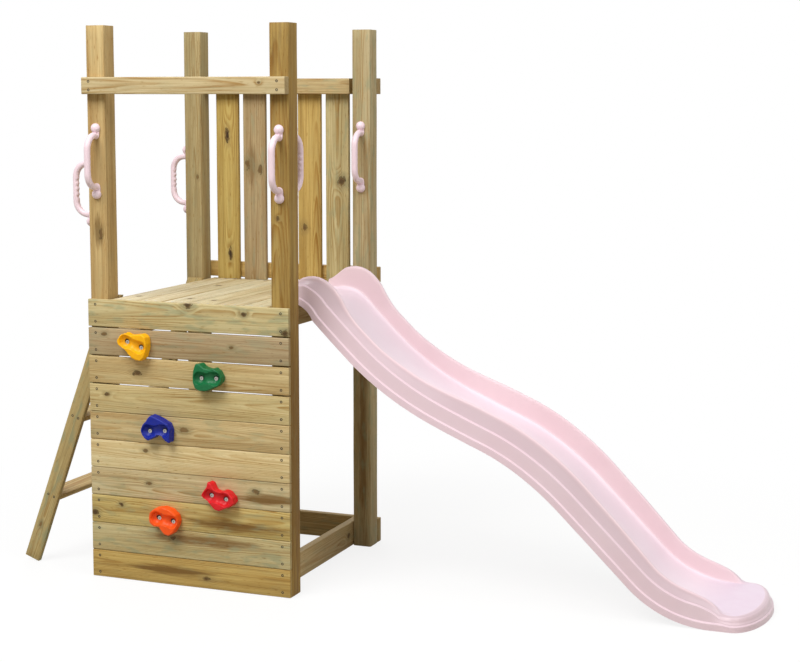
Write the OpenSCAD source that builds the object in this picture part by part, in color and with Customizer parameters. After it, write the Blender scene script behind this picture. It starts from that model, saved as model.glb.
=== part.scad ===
// Wooden climbing frame: a square deck on four posts with a climbing wall, a ladder and a slide.
// Millimetres, +Z up. X runs along the climbing wall towards the slide, Y runs to the back.

/* [Tower] */
// Width of the tower over its posts, along the climbing wall
tower_w = 745; // [690:5:1200]
// Depth of the tower over its posts
tower_d = 745; // [690:5:1200]
// Side of a square post
post_s = 70; // [60:1:100]
// Height of the posts
post_h = 1870; // [1800:10:2400]
// Bevel on the long edges of posts, beams and boards
edge = 2; // [0.5:0.5:4]
// Height of the deck's top above the ground
deck_z = 958; // [800:2:1100]

/* [Base] */
// Height of the beams at the feet of the posts
beam_h = 90; // [60:1:140]
// Thickness of the base beams and the deck joists
beam_t = 30; // [24:1:45]

/* [Climbing wall] */
// Number of planks in the wall
plank_n = 10; // [8:1:11]
// Thickness of a wall plank
plank_t = 16; // [12:1:24]
// Gap between two planks
plank_gap = 2.5; // [1:0.5:10]
// Distance of a plank's screws from its upper and lower edges
plank_screw_in = 18; // [12:1:25]

/* [Deck] */
// Number of deck boards
deck_n = 6; // [4:1:6]
// Thickness of a deck board
deck_t = 18; // [14:1:28]
// Gap between two deck boards
deck_gap = 3; // [1:0.5:8]
// Height of a deck joist
joist_h = 68; // [50:1:90]
// Distance of a deck board's screws from its long edges
deck_screw_in = 30; // [20:1:40]

/* [Rails and slats] */
// Distance of the top rails' upper edge below the posts' tops
rail_top_in = 170; // [100:5:220]
// Height of a rail's face
rail_h = 58; // [45:1:90]
// Thickness of a rail
rail_t = 32; // [24:1:45]
// Gap between the deck and the low back rail
rail_gap = 4; // [2:1:20]
// Gap between the inner back rail's ends and the posts
rail_end_gap = 18; // [5:1:40]
// Number of slats in the back guard
slat_n = 5; // [3:1:5]
// Gap between the outer slats and the posts
slat_end = 34.5; // [20:0.5:50]
// Thickness of a slat
slat_t = 18; // [12:1:24]
// Gap between two slats
slat_gap = 19; // [8:1:26]
// How far the slats stop below the top of the rails
slat_drop = 5; // [2:1:20]

/* [Ladder] */
// Lean of the ladder from upright, in degrees
ladder_lean = 20.2; // [12:0.1:26]
// Width of a ladder side and of a rung
ladder_w = 60; // [45:1:80]
// Thickness of a ladder side
ladder_t = 20; // [16:1:30]
// Thickness of a rung
rung_t = 20; // [16:1:30]
// Number of rungs
rung_n = 3; // [2:1:3]
// Distance of the lowest rung from the foot, along the ladder
rung_first = 248; // [200:1:300]
// Distance of the highest rung from the top, along the ladder
rung_last = 167; // [140:5:220]
// How far the ladder sides stand above the deck
ladder_over = 5; // [0:1:15]
// Distance of a ladder side's screws from its top and from each other
ladder_screw_in = 45; // [35:1:60]

/* [Handles] */
// Distance of the entry handles' middle below the posts' tops
handle_in = 450; // [400:5:540]
// Distance of the side handles' middle below the posts' tops
side_handle_in = 544; // [500:2:620]
// Distance between a handle's two bolts
handle_bolts = 220; // [200:2:260]
// Distance between the two feet of the grip
grip_span = 172; // [140:2:180]
// Diameter of the grip
grip_d = 22; // [16:1:26]
// Distance of the grip's middle line from the post
grip_out = 58; // [50:1:80]
// Radius of the grip's two bends
grip_bend = 46; // [30:1:48]
// Diameter of a handle's round foot and of its cap
foot_d = 33; // [28:1:44]
// Thickness of a handle's foot
foot_t = 5; // [4:0.5:8]
// Height of the domed cap over a handle bolt
cap_h = 13; // [11:0.5:16]
// How far the inner handle sits off its post's middle, towards the slide
inner_handle_off = 14; // [0:1:16]
// How far the side handles sit off their posts' middle, towards the front
side_handle_off = 15; // [0:1:16]
// Number of finger grooves in a grip
groove_n = 4; // [2:1:5]
// Pitch of the finger grooves
groove_pitch = 18; // [14:1:20]

/* [Stones] */
// Height of a climbing stone's tallest lobe
stone_h = 38; // [32:1:55]
// Distance of a stone bolt's seat from the wall
stone_seat = 14; // [8:1:18]
// Radius of the rounding on a stone's lobes
stone_round = 13; // [6:1:15]

/* [Slide] */
// Width of the slide over its skirts
slide_w = 440; // [340:2:500]
// Thickness of the slide's moulded wall
slide_t = 5; // [3:0.5:7]
// Width of the rim and the stepped skirt on one side
slide_side = 55; // [45:1:65]
// Height of the rims above the bed at the crest
slide_rim = 90; // [60:1:110]
// Height of the sloping step at a ledge on the slide's outside
slide_step = 6; // [3:0.5:8]
// Height of the lower ledge on the slide's outside, above the skirt's edge
slide_low_ledge = 22; // [14:1:30]
// Height of the upper ledge on the slide's outside, above the skirt's edge
slide_high_ledge = 68; // [50:1:80]
// Height of the run-out above the ground
slide_lip = 45; // [35:1:60]
// Length of the rounded end in plan
slide_nose = 95; // [80:5:160]
// How far the slide's top end lies on the deck
slide_lap = 26; // [24:1:60]
// Gap between the slide's skirts and the right joist
slide_gap = 4; // [2:0.5:10]
// Length over which the skirts drop from the deck to their full depth
slide_skirt_run = 110; // [20:5:140]
// Distance of the slide's screws from its middle line
slide_screw_y = 110; // [60:5:140]

/* [Fasteners] */
// Diameter of a wood screw's shank
screw_d = 4.5; // [3.5:0.5:6]
// Diameter of a wood screw's countersunk head
screw_head_d = 9; // [8:0.5:12]
// Distance of the end screws from the ends of planks and rails
screw_in = 28; // [24:1:32]
// Distance of the screws from the edges of rails, beams and joists
rail_screw_in = 15; // [12:1:20]
// How deep a wood screw bites into the piece that holds it
screw_bite = 32; // [20:1:34]
// Diameter of a handle bolt
handle_bolt_d = 6; // [5:0.5:8]
// Diameter of a stone bolt
stone_bolt_d = 8; // [6:1:10]
// Radial play around screws and bolts
play = 0.1; // [0.05:0.05:0.3]

/* [Hidden] */
$fn = 48;
// Colours: treated pine, deck, pale pink mouldings, zinc and the five stones
pine = "#C0A979";
pine_light = "#CDBB92";
pink = "#EBD3DB";
zinc = "#8F8C86";

// Levels and edges that several pieces share
inner_r = tower_w - post_s;
inner_b = tower_d - post_s;
mid_x = tower_w / 2;
mid_y = tower_d / 2;
joist_top = deck_z - deck_t;
joist_z = joist_top - joist_h;
rail_z = post_h - rail_top_in - rail_h;
guard_h = rail_z + rail_h - deck_z;
low_rail_z = deck_z + rail_gap;
slat_y = tower_d - slat_t;
post_mid = post_s / 2;

// Wall planks fill the height from the ground to the deck's top
plank_pitch = (deck_z + plank_gap) / plank_n;
plank_w = plank_pitch - plank_gap;
function plank_z(i) = (i - 1) * plank_pitch;

// The ladder leans on the left joist's upper edge and stands on the ground
seat_gap = 0.3;
ladder_top = deck_z + ladder_over;
ladder_foot_x = post_s - seat_gap - joist_top * tan(ladder_lean);
ladder_l = ladder_top / cos(ladder_lean);
rung_step = (ladder_l - rung_first - rung_last) / (rung_n - 1);
rung_screw_off = ladder_w / 5;
// A point of the ladder: u up along its inner edge, v out across its width
function ladder_x(u, v) = ladder_foot_x + u * sin(ladder_lean) - v * cos(ladder_lean);
function ladder_z(u, v) = u * cos(ladder_lean) + v * sin(ladder_lean);
function rung_u(i) = rung_first + (i - 1) * rung_step;

// Deck boards run front to back and stay clear of the ladder's top
deck_in = (ladder_top - joist_top) * tan(ladder_lean) + 4 * seat_gap;
deck_x = post_s + deck_in;
deck_pitch = (tower_w - 2 * deck_x + deck_gap) / deck_n;
deck_w = deck_pitch - deck_gap;
back_joist_y = slat_y - beam_t;

slat_pitch = (inner_r - post_s - 2 * slat_end + slat_gap) / slat_n;
slat_w = slat_pitch - slat_gap;
function slat_x(i) = post_s + slat_end + (i - 1) * slat_pitch;

// Handles: post face, side that it faces and the middle of the handle on that face
HANDLES = [
    ["handle_front_left", "front", [post_mid, 0, post_h - handle_in]],
    ["handle_side_left", "left", [0, post_mid - side_handle_off, post_h - side_handle_in]],
    ["handle_side_back", "left", [0, tower_d - post_mid - side_handle_off, post_h - side_handle_in]],
    ["handle_front_right", "front", [tower_w - post_mid, 0, post_h - handle_in]],
    ["handle_back_right", "front", [tower_w - post_mid, inner_b, post_h - handle_in]],
    ["handle_inner_right", "back", [tower_w - post_mid + inner_handle_off, post_s, post_h - handle_in]]
];

// Stones: colour, plank, place on it, lobes [x, z, radius, share of the height] and two bolts [x, z]
STONES = [
    ["stone_yellow", "#FFB800", 9, [-186, -9],
        [[-33, 19, 27, 0.9], [34, 17, 26, 1], [31, -12, 27, 0.95], [19, -19, 25, 0.8], [2, 9, 30, 0.85]],
        [[-23, 16], [29, -1]]],
    ["stone_green", "#0A6B3A", 8, [92, -1],
        [[-30, 16, 24, 1], [-29, -11, 28, 0.85], [30, 4, 28, 0.95], [-4, -13, 26, 0.8], [2, 4, 26, 0.75]],
        [[-25, -2], [29, 0]]],
    ["stone_blue", "#1A2EA8", 6, [-103, 6],
        [[-31, -2, 29, 0.9], [-12, 12, 29, 1], [33, 3, 27, 0.95], [44, -22, 15, 0.8], [12, 8, 24, 0.85]],
        [[-26, -7], [30, -3]]],
    ["stone_red", "#DD1A22", 4, [129, -11],
        [[-38, 26, 16, 0.9], [-38, 6, 24, 0.85], [-10, -8, 25, 0.75], [0, -20, 22, 0.8], [32, -6, 30, 1]],
        [[-29, 3], [24, -6]]],
    ["stone_orange", "#FF5A10", 3, [-76, -14],
        [[-33, 2, 27, 0.85], [2, 15, 28, 1], [32, 5, 28, 0.95], [26, -20, 24, 0.8]],
        [[-22, 8], [31, 0]]]
];
function stone_x(s) = mid_x + s[3].x;
function stone_z(s) = plank_z(s[2]) + plank_w / 2 + s[3].y;

// Slide: share of its length from the top, with the slope there in degrees
SLOPES = [[0, 0], [0.03, 0], [0.085, 45.5], [0.17, 43.5], [0.26, 33.5], [0.35, 24.5], [0.44, 22.5],
    [0.53, 34.5], [0.62, 44], [0.785, 44.5], [0.92, 0], [1, 0]];
// Share of the slide's length, with the rim's height there as a share of its height at the crest
RIMS = [[0, 0.3], [0.01, 0.4], [0.024, 0.7], [0.04, 0.93], [0.055, 1], [0.07, 0.9], [0.09, 0.76],
    [0.11, 0.65], [0.13, 0.58], [0.2, 0.58], [0.3, 0.68], [0.4, 0.82], [0.5, 0.81], [0.6, 0.78], [0.7, 0.72],
    [0.8, 0.62], [0.88, 0.6], [0.91, 0.48], [0.93, 0.2], [0.94, 0], [1, 0]];
// The bed lies on the deck, then the skirts drop clear of the right joist and the post
slide_x0 = tower_w - deck_x - slide_lap;
skirt_from = inner_r + slide_gap - slide_x0;
slide_drop = deck_z + slide_t - slide_lip;
// Steps: fine over the crest, even down the slope, closing in round the nose
CREST_STEPS = 14;
SLOPE_STEPS = 34;
NOSE_STEPS = 8;
crest_end = 0.12;
nose_turn = 84;
slope_end = 0.95;
COARSE = concat([for (i = [0:CREST_STEPS]) crest_end * i / CREST_STEPS],
    [for (i = [1:SLOPE_STEPS]) crest_end + (slope_end - crest_end) * i / SLOPE_STEPS]);
function slope(f) = lookup(f, SLOPES);
function sum(v, i = 0) = i < len(v) ? v[i] + sum(v, i + 1) : 0;
// How far a slide of length 1 falls over a list of steps
function fall(v) = sum([for (i = [1:len(v) - 1]) (v[i] - v[i - 1]) * sin(slope((v[i] + v[i - 1]) / 2))]);
// The nose as a share of the length
nose_part = slide_nose * fall(COARSE) / slide_drop;
STATIONS = concat([for (f = COARSE) if (f < 1 - nose_part) f],
    [for (i = [0:NOSE_STEPS]) 1 - nose_part * (1 - sin(nose_turn * i / NOSE_STEPS))]);
// The length follows from the drop, so that the run-out lies on the ground
slide_l = slide_drop / fall(STATIONS);
// Each step: x, z and slope of the bed
PATH = [for (i = 0, x = slide_x0, z = deck_z + slide_t; i < len(STATIONS);
    i = i + 1,
    m = i < len(STATIONS) ? slope((STATIONS[i] + STATIONS[i - 1]) / 2) : 0,
    d = i < len(STATIONS) ? (STATIONS[i] - STATIONS[i - 1]) * slide_l : 0,
    x = x + d * cos(m), z = z - d * sin(m)) [x, z, slope(STATIONS[i])]];
slide_end = PATH[len(PATH) - 1];

// Origin: middle of the whole frame's box, on the ground
foot_left = ladder_x(0, ladder_w);
reach_front = max(grip_out + grip_d / 2, plank_t + stone_h, rail_t);
origin = [(foot_left + slide_end.x) / 2, (tower_d + rail_t - reach_front) / 2, 0];

// Sides: direction that a face looks in, and the turn that brings +Z there with Y upright
function out(side) = side == "front" ? [0, -1, 0] : side == "back" ? [0, 1, 0]
    : side == "left" ? [-1, 0, 0] : side == "right" ? [1, 0, 0] : [0, 0, 1];
function turn(side) = side == "front" ? [90, 0, 0] : side == "back" ? [90, 0, 180]
    : side == "left" ? [90, 0, -90] : side == "right" ? [90, 0, 90] : [0, 0, 0];

// Fasteners: [place of the head's seat, side that the head looks to, length, kind]
// Wood screws are sunk, pan heads hold the handles, socket bolts hold the stones
head_pan_h = 4;
head_socket_h = 8;
nut_h = 6;
function shank_r(kind) = (kind == "sunk" ? screw_d : kind == "pan" ? handle_bolt_d : stone_bolt_d) / 2;
function head_r(kind) = kind == "sunk" ? screw_head_d / 2 : shank_r(kind) * (kind == "pan" ? 2 : 1.6);
function head_h(kind) = kind == "sunk" ? head_r(kind) - shank_r(kind)
    : kind == "pan" ? head_pan_h : head_socket_h;
rail_screw_l = rail_t + screw_bite;
beam_screw_l = beam_t + screw_bite;

WALL_SCREWS = [for (i = [1:plank_n], x = [screw_in, tower_w - screw_in],
    z = [plank_screw_in, plank_w - plank_screw_in])
    [[x, -plank_t, plank_z(i) + z], "front", plank_t + screw_bite, "sunk"]];
RAIL_SCREWS = [for (x = [screw_in, tower_w - screw_in], z = [rail_screw_in, rail_h - rail_screw_in])
    each [[[x, -rail_t, rail_z + z], "front", rail_screw_l, "sunk"],
        [[x, tower_d + rail_t, rail_z + z], "back", rail_screw_l, "sunk"],
        [[x, tower_d + rail_t, low_rail_z + z], "back", rail_screw_l, "sunk"]]];
BEAM_SCREWS = [for (z = [rail_screw_in, beam_h - rail_screw_in])
    each concat([for (x = [screw_in, tower_w - screw_in])
            [[x, tower_d + beam_t, z], "back", beam_screw_l, "sunk"]],
        [for (y = [post_mid, tower_d - post_mid])
            each [[[post_s + beam_t, y, z], "right", beam_screw_l, "sunk"],
                [[inner_r - beam_t, y, z], "left", beam_screw_l, "sunk"]]])];
JOIST_SCREWS = [for (z = [rail_screw_in, joist_h - rail_screw_in], y = [post_mid, tower_d - post_mid])
    each [[[post_s + beam_t, y, joist_z + z], "right", beam_screw_l, "sunk"],
        [[inner_r - beam_t, y, joist_z + z], "left", beam_screw_l, "sunk"]]];
SLAT_SCREWS = [for (i = [1:slat_n], z = [rail_screw_in, rail_h - rail_screw_in], side = [0.3, 0.7])
    let (x = slat_x(i) + slat_w * side)
    each [[[x, tower_d + rail_t, low_rail_z + z], "back", rail_t + slat_t * 0.7, "sunk"],
        [[x, tower_d + rail_t, rail_z + z], "back", rail_t * 1.7 + slat_t, "sunk"]]];
DECK_SCREWS = [for (i = [1:deck_n], x = [deck_screw_in, deck_w - deck_screw_in],
    y = [beam_t / 2, back_joist_y + beam_t / 2])
    [[deck_x + (i - 1) * deck_pitch + x, y, deck_z], "up", deck_t + screw_bite, "sunk"]];
SLIDE_SCREWS = [for (y = [-slide_screw_y, slide_screw_y])
    [[slide_x0 + slide_lap * 0.55, mid_y + y, deck_z + slide_t], "up",
        slide_t + deck_t + screw_bite, "sunk"]];
RUNG_SCREWS = [for (i = [1:rung_n], v = [ladder_w / 2 - rung_screw_off, ladder_w / 2 + rung_screw_off])
    each [[[ladder_x(rung_u(i), v), post_s, ladder_z(rung_u(i), v)], "front", ladder_t + screw_bite, "sunk"],
        [[ladder_x(rung_u(i), v), inner_b, ladder_z(rung_u(i), v)], "back", ladder_t + screw_bite, "sunk"]]];
ladder_screw_l = ladder_t + screw_bite * 0.7;
LADDER_SCREWS = [for (u = [ladder_l - 2 * ladder_screw_in, ladder_l - ladder_screw_in])
    let (x = ladder_x(u, ladder_w / 2), z = ladder_z(u, ladder_w / 2))
    each [[[x, post_s + ladder_t, z], "back", ladder_screw_l, "sunk"],
        [[x, inner_b - ladder_t, z], "front", ladder_screw_l, "sunk"]]];
FRAME_SCREWS = concat(RAIL_SCREWS, BEAM_SCREWS, JOIST_SCREWS, SLAT_SCREWS, RUNG_SCREWS, LADDER_SCREWS);
TOP_SCREWS = concat(DECK_SCREWS, SLIDE_SCREWS);
HANDLE_BOLTS = [for (h = HANDLES, z = [-handle_bolts / 2, handle_bolts / 2])
    [h[2] + foot_t * out(h[1]) + [0, 0, z], h[1], foot_t + screw_bite * 0.9, "pan"]];
STONE_BOLTS = [for (s = STONES, b = s[5])
    [[stone_x(s) + b.x, -plank_t - stone_seat, stone_z(s) + b.y], "front",
        stone_seat + plank_t + nut_h + 2, "socket"]];
SCREWS = concat(WALL_SCREWS, FRAME_SCREWS, TOP_SCREWS, HANDLE_BOLTS, STONE_BOLTS);

PLANKS = [for (i = [1:plank_n]) str("wall_plank_", i)];
BOARDS = [for (i = [1:deck_n]) str("deck_board_", i)];
SLATS = [for (i = [1:slat_n]) str("slat_", i)];
RUNGS = [for (i = [1:rung_n]) str("ladder_rung_", i)];

// Colour of a piece, moved so that the origin lies under the middle of the frame
module piece(tone) {
    color(tone) translate(-origin) children();
}

// One screw or bolt: its seat at z = 0, pointing down
module fastener(kind, length) {
    recess_r = head_r(kind) / 2;
    recess_h = head_h(kind) / 2;
    top = kind == "sunk" ? 0 : head_h(kind);
    difference() {
        union() {
            translate([0, 0, -length]) cylinder(h = length, r = shank_r(kind));
            if (kind == "sunk")
                translate([0, 0, -head_h(kind)])
                    cylinder(h = head_h(kind), r1 = shank_r(kind), r2 = head_r(kind));
            else
                cylinder(h = head_h(kind), r = head_r(kind));
        }
        translate([0, 0, top - recess_h]) cylinder(h = recess_h + 1, r = recess_r, $fn = 6);
    }
}

// The hole that a screw or bolt needs
module drill(kind, length) {
    r = shank_r(kind) + play;
    translate([0, 0, -length - play]) cylinder(h = length + play + 1, r = r);
    if (kind == "sunk")
        translate([0, 0, -head_h(kind)])
            cylinder(h = head_h(kind) + play, r1 = r, r2 = head_r(kind) + 2 * play);
}

module fasteners(list) {
    piece(zinc) for (s = list) translate(s[0]) rotate(turn(s[1])) fastener(s[3], s[2]);
}

// The fasteners whose shanks run through a box
function through(lo, hi) = [for (s = SCREWS) let (a = s[0], b = s[0] - s[2] * out(s[1]))
    if (min(a.x, b.x) < hi.x && max(a.x, b.x) > lo.x && min(a.y, b.y) < hi.y && max(a.y, b.y) > lo.y
        && min(a.z, b.z) < hi.z && max(a.z, b.z) > lo.z) s];

// Cuts the holes of every fastener that runs through a box out of what lies in it
module drilled(lo, hi) {
    difference() {
        children();
        for (s = through(lo, hi)) translate(s[0]) rotate(turn(s[1])) drill(s[3], s[2]);
    }
}

// Section of a board with its long edges taken off
module planed(w, h) {
    polygon([[edge, 0], [w - edge, 0], [w, edge], [w, h - edge],
        [w - edge, h], [edge, h], [0, h - edge], [0, edge]]);
}

// A drilled board from its lowest corner, running along x, y or z
module board(corner, size, along) {
    drilled(corner, corner + size) translate(corner) {
        if (along == "x") rotate([90, 0, 90]) linear_extrude(size.x) planed(size.y, size.z);
        if (along == "y") translate([size.x, 0, 0])
            rotate([90, 0, 180]) linear_extrude(size.y) planed(size.x, size.z);
        if (along == "z") linear_extrude(size.z) planed(size.x, size.y);
    }
}

module post(x, y) {
    piece(pine) board([x, y, 0], [post_s, post_s, post_h], "z");
}

module wall_plank(i) {
    piece(pine) board([0, -plank_t, plank_z(i)], [tower_w, plank_t, plank_w], "x");
}

module base_beam_left() {
    piece(pine) board([post_s, 0, 0], [beam_t, tower_d, beam_h], "y");
}

module base_beam_right() {
    piece(pine) board([inner_r - beam_t, 0, 0], [beam_t, tower_d, beam_h], "y");
}

module base_beam_back() {
    piece(pine) board([0, tower_d, 0], [tower_w, beam_t, beam_h], "x");
}

module deck_joist_left() {
    piece(pine) board([post_s, 0, joist_z], [beam_t, tower_d, joist_h], "y");
}

module deck_joist_right() {
    piece(pine) board([inner_r - beam_t, 0, joist_z], [beam_t, tower_d, joist_h], "y");
}

// A joist across the tower, between the two side joists
module cross_joist(y) {
    piece(pine) board([post_s + beam_t, y, joist_z], [inner_r - post_s - 2 * beam_t, beam_t, joist_h], "x");
}

module deck_board(i) {
    piece(pine_light) board([deck_x + (i - 1) * deck_pitch, 0, joist_top], [deck_w, tower_d, deck_t], "y");
}

// A rail over the full width of the tower
module long_rail(y, z) {
    piece(pine) board([0, y, z], [tower_w, rail_t, rail_h], "x");
}

module back_rail_inner() {
    from = post_s + rail_end_gap;
    piece(pine) board([from, slat_y - rail_t, rail_z], [tower_w - 2 * from, rail_t, rail_h], "x");
}

module slat(i) {
    piece(pine) board([slat_x(i), slat_y, deck_z], [slat_w, slat_t, guard_h - slat_drop], "z");
}

// A piece of the ladder from its outline in x and z, standing between two depths
module ladder_piece(y, depth, outline) {
    xs = [for (p = outline) p.x];
    zs = [for (p = outline) p.y];
    piece(pine) drilled([min(xs), y, min(zs)], [max(xs), y + depth, max(zs)])
        translate([0, y + depth, 0]) rotate([90, 0, 0]) linear_extrude(depth) polygon(outline);
}

// A ladder side: square at the foot, level at the top
module ladder_side(y) {
    top_u = (ladder_top - ladder_w * sin(ladder_lean)) / cos(ladder_lean);
    ladder_piece(y, ladder_t, [for (p = [[0, 0], [0, ladder_w], [top_u, ladder_w], [ladder_l, 0]])
        [ladder_x(p.x, p.y), ladder_z(p.x, p.y)]]);
}

module ladder_rung(i) {
    low = rung_u(i) - rung_t / 2;
    high = rung_u(i) + rung_t / 2;
    from = post_s + ladder_t;
    ladder_piece(from, inner_b - ladder_t - from,
        [for (p = [[low, 0], [low, ladder_w], [high, ladder_w], [high, 0]])
            [ladder_x(p.x, p.y), ladder_z(p.x, p.y)]]);
}

// Half of a handle: foot, upright and bend, up from the middle
module handle_half() {
    foot_r = foot_d / 2;
    neck_r = grip_d * 0.65;
    bend_y = grip_span / 2 - grip_bend;
    bend_z = grip_out - grip_bend;
    linear_extrude(foot_t) {
        translate([0, handle_bolts / 2]) circle(foot_r);
        translate([0, grip_span / 2]) circle(neck_r);
        translate([-neck_r, grip_span / 2]) square([2 * neck_r, (handle_bolts - grip_span) / 2]);
    }
    translate([0, grip_span / 2, 0]) cylinder(h = bend_z, d = grip_d);
    translate([0, bend_y, bend_z]) rotate([90, 0, 90])
        rotate_extrude(angle = 90) translate([grip_bend, 0]) circle(d = grip_d);
    translate([0, 0, grip_out]) rotate([-90, 0, 0]) cylinder(h = bend_y, d = grip_d);
}

// A bowed handle with finger grooves on the side of the grip that faces the post and a seat for each cap
module handle(h) {
    groove_r = groove_pitch / 2;
    groove_z = grip_out - grip_d / 2 - groove_r + grip_d * 0.15;
    half = [foot_d, foot_d, handle_bolts + foot_d] / 2;
    reach = [for (k = [0:2]) abs(out(h[1])[k]) * grip_out];
    lo = h[2] - half - reach;
    hi = h[2] + half + reach;
    piece(pink) drilled(lo, hi) translate(h[2]) rotate(turn(h[1])) difference() {
        union() {
            handle_half();
            mirror([0, 1, 0]) handle_half();
        }
        for (i = [1:groove_n]) translate([-grip_d, (i - (groove_n + 1) / 2) * groove_pitch, groove_z])
            rotate([0, 90, 0]) cylinder(h = 2 * grip_d, r = groove_r);
        for (end = [-1, 1]) translate([0, end * handle_bolts / 2, foot_t])
            cylinder(h = cap_h, r = foot_d / 2 + play);
    }
}

// A domed cap over each handle bolt, hollow for the bolt's head
module handle_caps() {
    cap_r = foot_d / 2;
    ball_r = (cap_r * cap_r + cap_h * cap_h) / (2 * cap_h);
    piece(pink) for (s = HANDLE_BOLTS) translate(s[0]) rotate(turn(s[1])) difference() {
        rotate_extrude() intersection() {
            translate([0, cap_h - ball_r]) circle(ball_r);
            square([cap_r, cap_h]);
        }
        translate([0, 0, -1]) cylinder(h = head_pan_h + 2, r = head_r("pan") + 1);
    }
}

// One lobe of a stone: a puck with a rounded edge
module lobe(r, h) {
    round = min(stone_round, h * 0.8, r * 0.45);
    rotate_extrude() {
        square([r - round, h]);
        square([r, h - round]);
        translate([r - round, h - round]) circle(round);
    }
}

// A climbing stone with a counterbored hole for each bolt
module stone(s) {
    piece(s[1]) translate([stone_x(s), -plank_t, stone_z(s)]) rotate(turn("front")) difference() {
        union() for (l = s[4]) translate([l.x, l.y, 0]) lobe(l.z, stone_h * l[3]);
        for (b = s[5]) translate([b.x, b.y, stone_seat]) {
            cylinder(h = stone_h, r = head_r("socket") + 1);
            drill("socket", stone_h);
        }
    }
}

// A nut behind the wall on each stone bolt
module stone_nuts() {
    nut_r = stone_bolt_d;
    piece(zinc) for (s = STONE_BOLTS) translate([s[0].x, nut_h, s[0].z]) rotate(turn("front")) difference() {
        cylinder(h = nut_h, r = nut_r, $fn = 6);
        translate([0, 0, -1]) cylinder(h = nut_h + 2, r = shank_r("socket") + play);
    }
}

// A ledge keeps its height above the skirt's edge, and stays below a share of the side where that is low
low_share = 0.4;
high_share = 0.72;
function low_ledge(rim, skirt) = min(slide_low_ledge, low_share * (rim + skirt)) - skirt;
function high_ledge(rim, skirt) = min(slide_high_ledge, high_share * (rim + skirt)) - skirt;
// A point of the slide's section: share of the side's width beyond the bed, height above the bed
function side_point(share, z) = [slide_w / 2 - slide_side + slide_side * share, z];
// Half of the section from the bed's edge, over the rim and down the stepped skirt
function skin(rim, skirt) = let (low = low_ledge(rim, skirt), high = high_ledge(rim, skirt),
    step = slide_step / 2)
    [side_point(-0.5, 0), side_point(-0.14, rim * 0.07), side_point(0.02, rim * 0.15),
    side_point(0.13, rim * 0.8), side_point(0.19, rim * 0.95), side_point(0.3, rim),
    side_point(0.41, rim * 0.95), side_point(0.48, rim * 0.8), side_point(0.63, high + step),
    side_point(0.79, high - step), side_point(0.85, low + step), side_point(0.97, low - step),
    side_point(1, -skirt)];
// The same half from underneath, about one wall thickness inside
function lining(rim, skirt) = let (low = low_ledge(rim, skirt), high = high_ledge(rim, skirt),
    step = slide_step / 2, t = slide_t, in = [-slide_t, 0])
    [side_point(-0.5, -t), side_point(-0.1, rim * 0.07 - t), side_point(0.11, rim * 0.15 - t),
    side_point(0.22, rim * 0.74 - t), side_point(0.25, rim * 0.85 - t), side_point(0.3, rim * 0.9 - t),
    side_point(0.35, rim * 0.85 - t), side_point(0.39, rim * 0.74 - t),
    in + side_point(0.63, high + step - 0.8 * t), in + side_point(0.79, high - step - 0.4 * t),
    in + side_point(0.85, low + step - 0.4 * t), in + side_point(0.97, low - step - 0.2 * t),
    in + side_point(1, -skirt)];
function reversed(half) = [for (i = [len(half) - 1:-1:0]) half[i]];
function mirrored(half) = [for (p = reversed(half)) [-p.x, p.y]];

// A moulded shell, open underneath and closed at the nose, swept down its path
module slide() {
    end = len(STATIONS) - 1;
    rows = [for (i = [0:end])
        let (f = STATIONS[i],
            left = (1 - f) * slide_l,
            narrow = left < slide_nose ? sqrt(1 - pow(1 - left / slide_nose, 2)) : 1,
            rim = slide_rim * lookup(f, RIMS),
            skirt = lookup(f * slide_l, [[skirt_from, slide_t], [skirt_from + slide_skirt_run, slide_lip]]),
            top = skin(rim, skirt),
            hollow = i < end ? 1 : 0.1,
            under = [for (p = lining(rim, skirt)) [p.x, (p.y + skirt) * hollow - skirt]])
        [for (p = concat(mirrored(top), top, reversed(under), mirrored(reversed(under))))
            [PATH[i].x + p.y * sin(PATH[i].z), mid_y + p.x * narrow, PATH[i].y + p.y * cos(PATH[i].z)]]];
    n = len(rows[0]);
    last = end * n;
    // Each end is closed by a strip between the skin and the lining
    strip = [for (k = [0:n / 2 - 2]) each [[k, k + 1, n - 2 - k], [k, n - 2 - k, n - 1 - k]]];
    lo = [slide_x0, mid_y - slide_w / 2, deck_z];
    piece(pink) drilled(lo, lo + [slide_lap, slide_w, slide_t])
        polyhedron(points = [for (r = rows) each r],
            faces = concat(strip, [for (t = strip) [last + t.z, last + t.y, last + t.x]],
                [for (i = [0:end - 1], k = [0:n - 1]) let (a = i * n + k, b = i * n + (k + 1) % n)
                    each [[a, a + n, b], [b, a + n, b + n]]]));
}

post(0, 0);  // post_front_left
post(inner_r, 0);  // post_front_right
post(0, inner_b);  // post_back_left
post(inner_r, inner_b);  // post_back_right
for (i = [1:plank_n]) wall_plank(i);
base_beam_left();
base_beam_right();
base_beam_back();
deck_joist_left();
deck_joist_right();
cross_joist(0);  // deck_joist_front
cross_joist(back_joist_y);  // deck_joist_back
for (i = [1:deck_n]) deck_board(i);
long_rail(-rail_t, rail_z);  // front_rail
long_rail(tower_d, rail_z);  // back_rail_top
long_rail(tower_d, low_rail_z);  // back_rail_low
back_rail_inner();
for (i = [1:slat_n]) slat(i);
ladder_side(post_s);  // ladder_side_front
ladder_side(inner_b - ladder_t);  // ladder_side_back
for (i = [1:rung_n]) ladder_rung(i);
for (h = HANDLES) handle(h);
for (s = STONES) stone(s);
slide();
fasteners(WALL_SCREWS);  // wall_screws
fasteners(FRAME_SCREWS);  // frame_screws
fasteners(TOP_SCREWS);  // deck_screws
fasteners(HANDLE_BOLTS);  // handle_screws
handle_caps();
fasteners(STONE_BOLTS);  // stone_bolts
stone_nuts();
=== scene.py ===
"""Looks of the wooden climbing frame: planed boards, moulded slide, handles and climbing stones."""
import math
import random
from collections import namedtuple
from functools import partial

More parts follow.
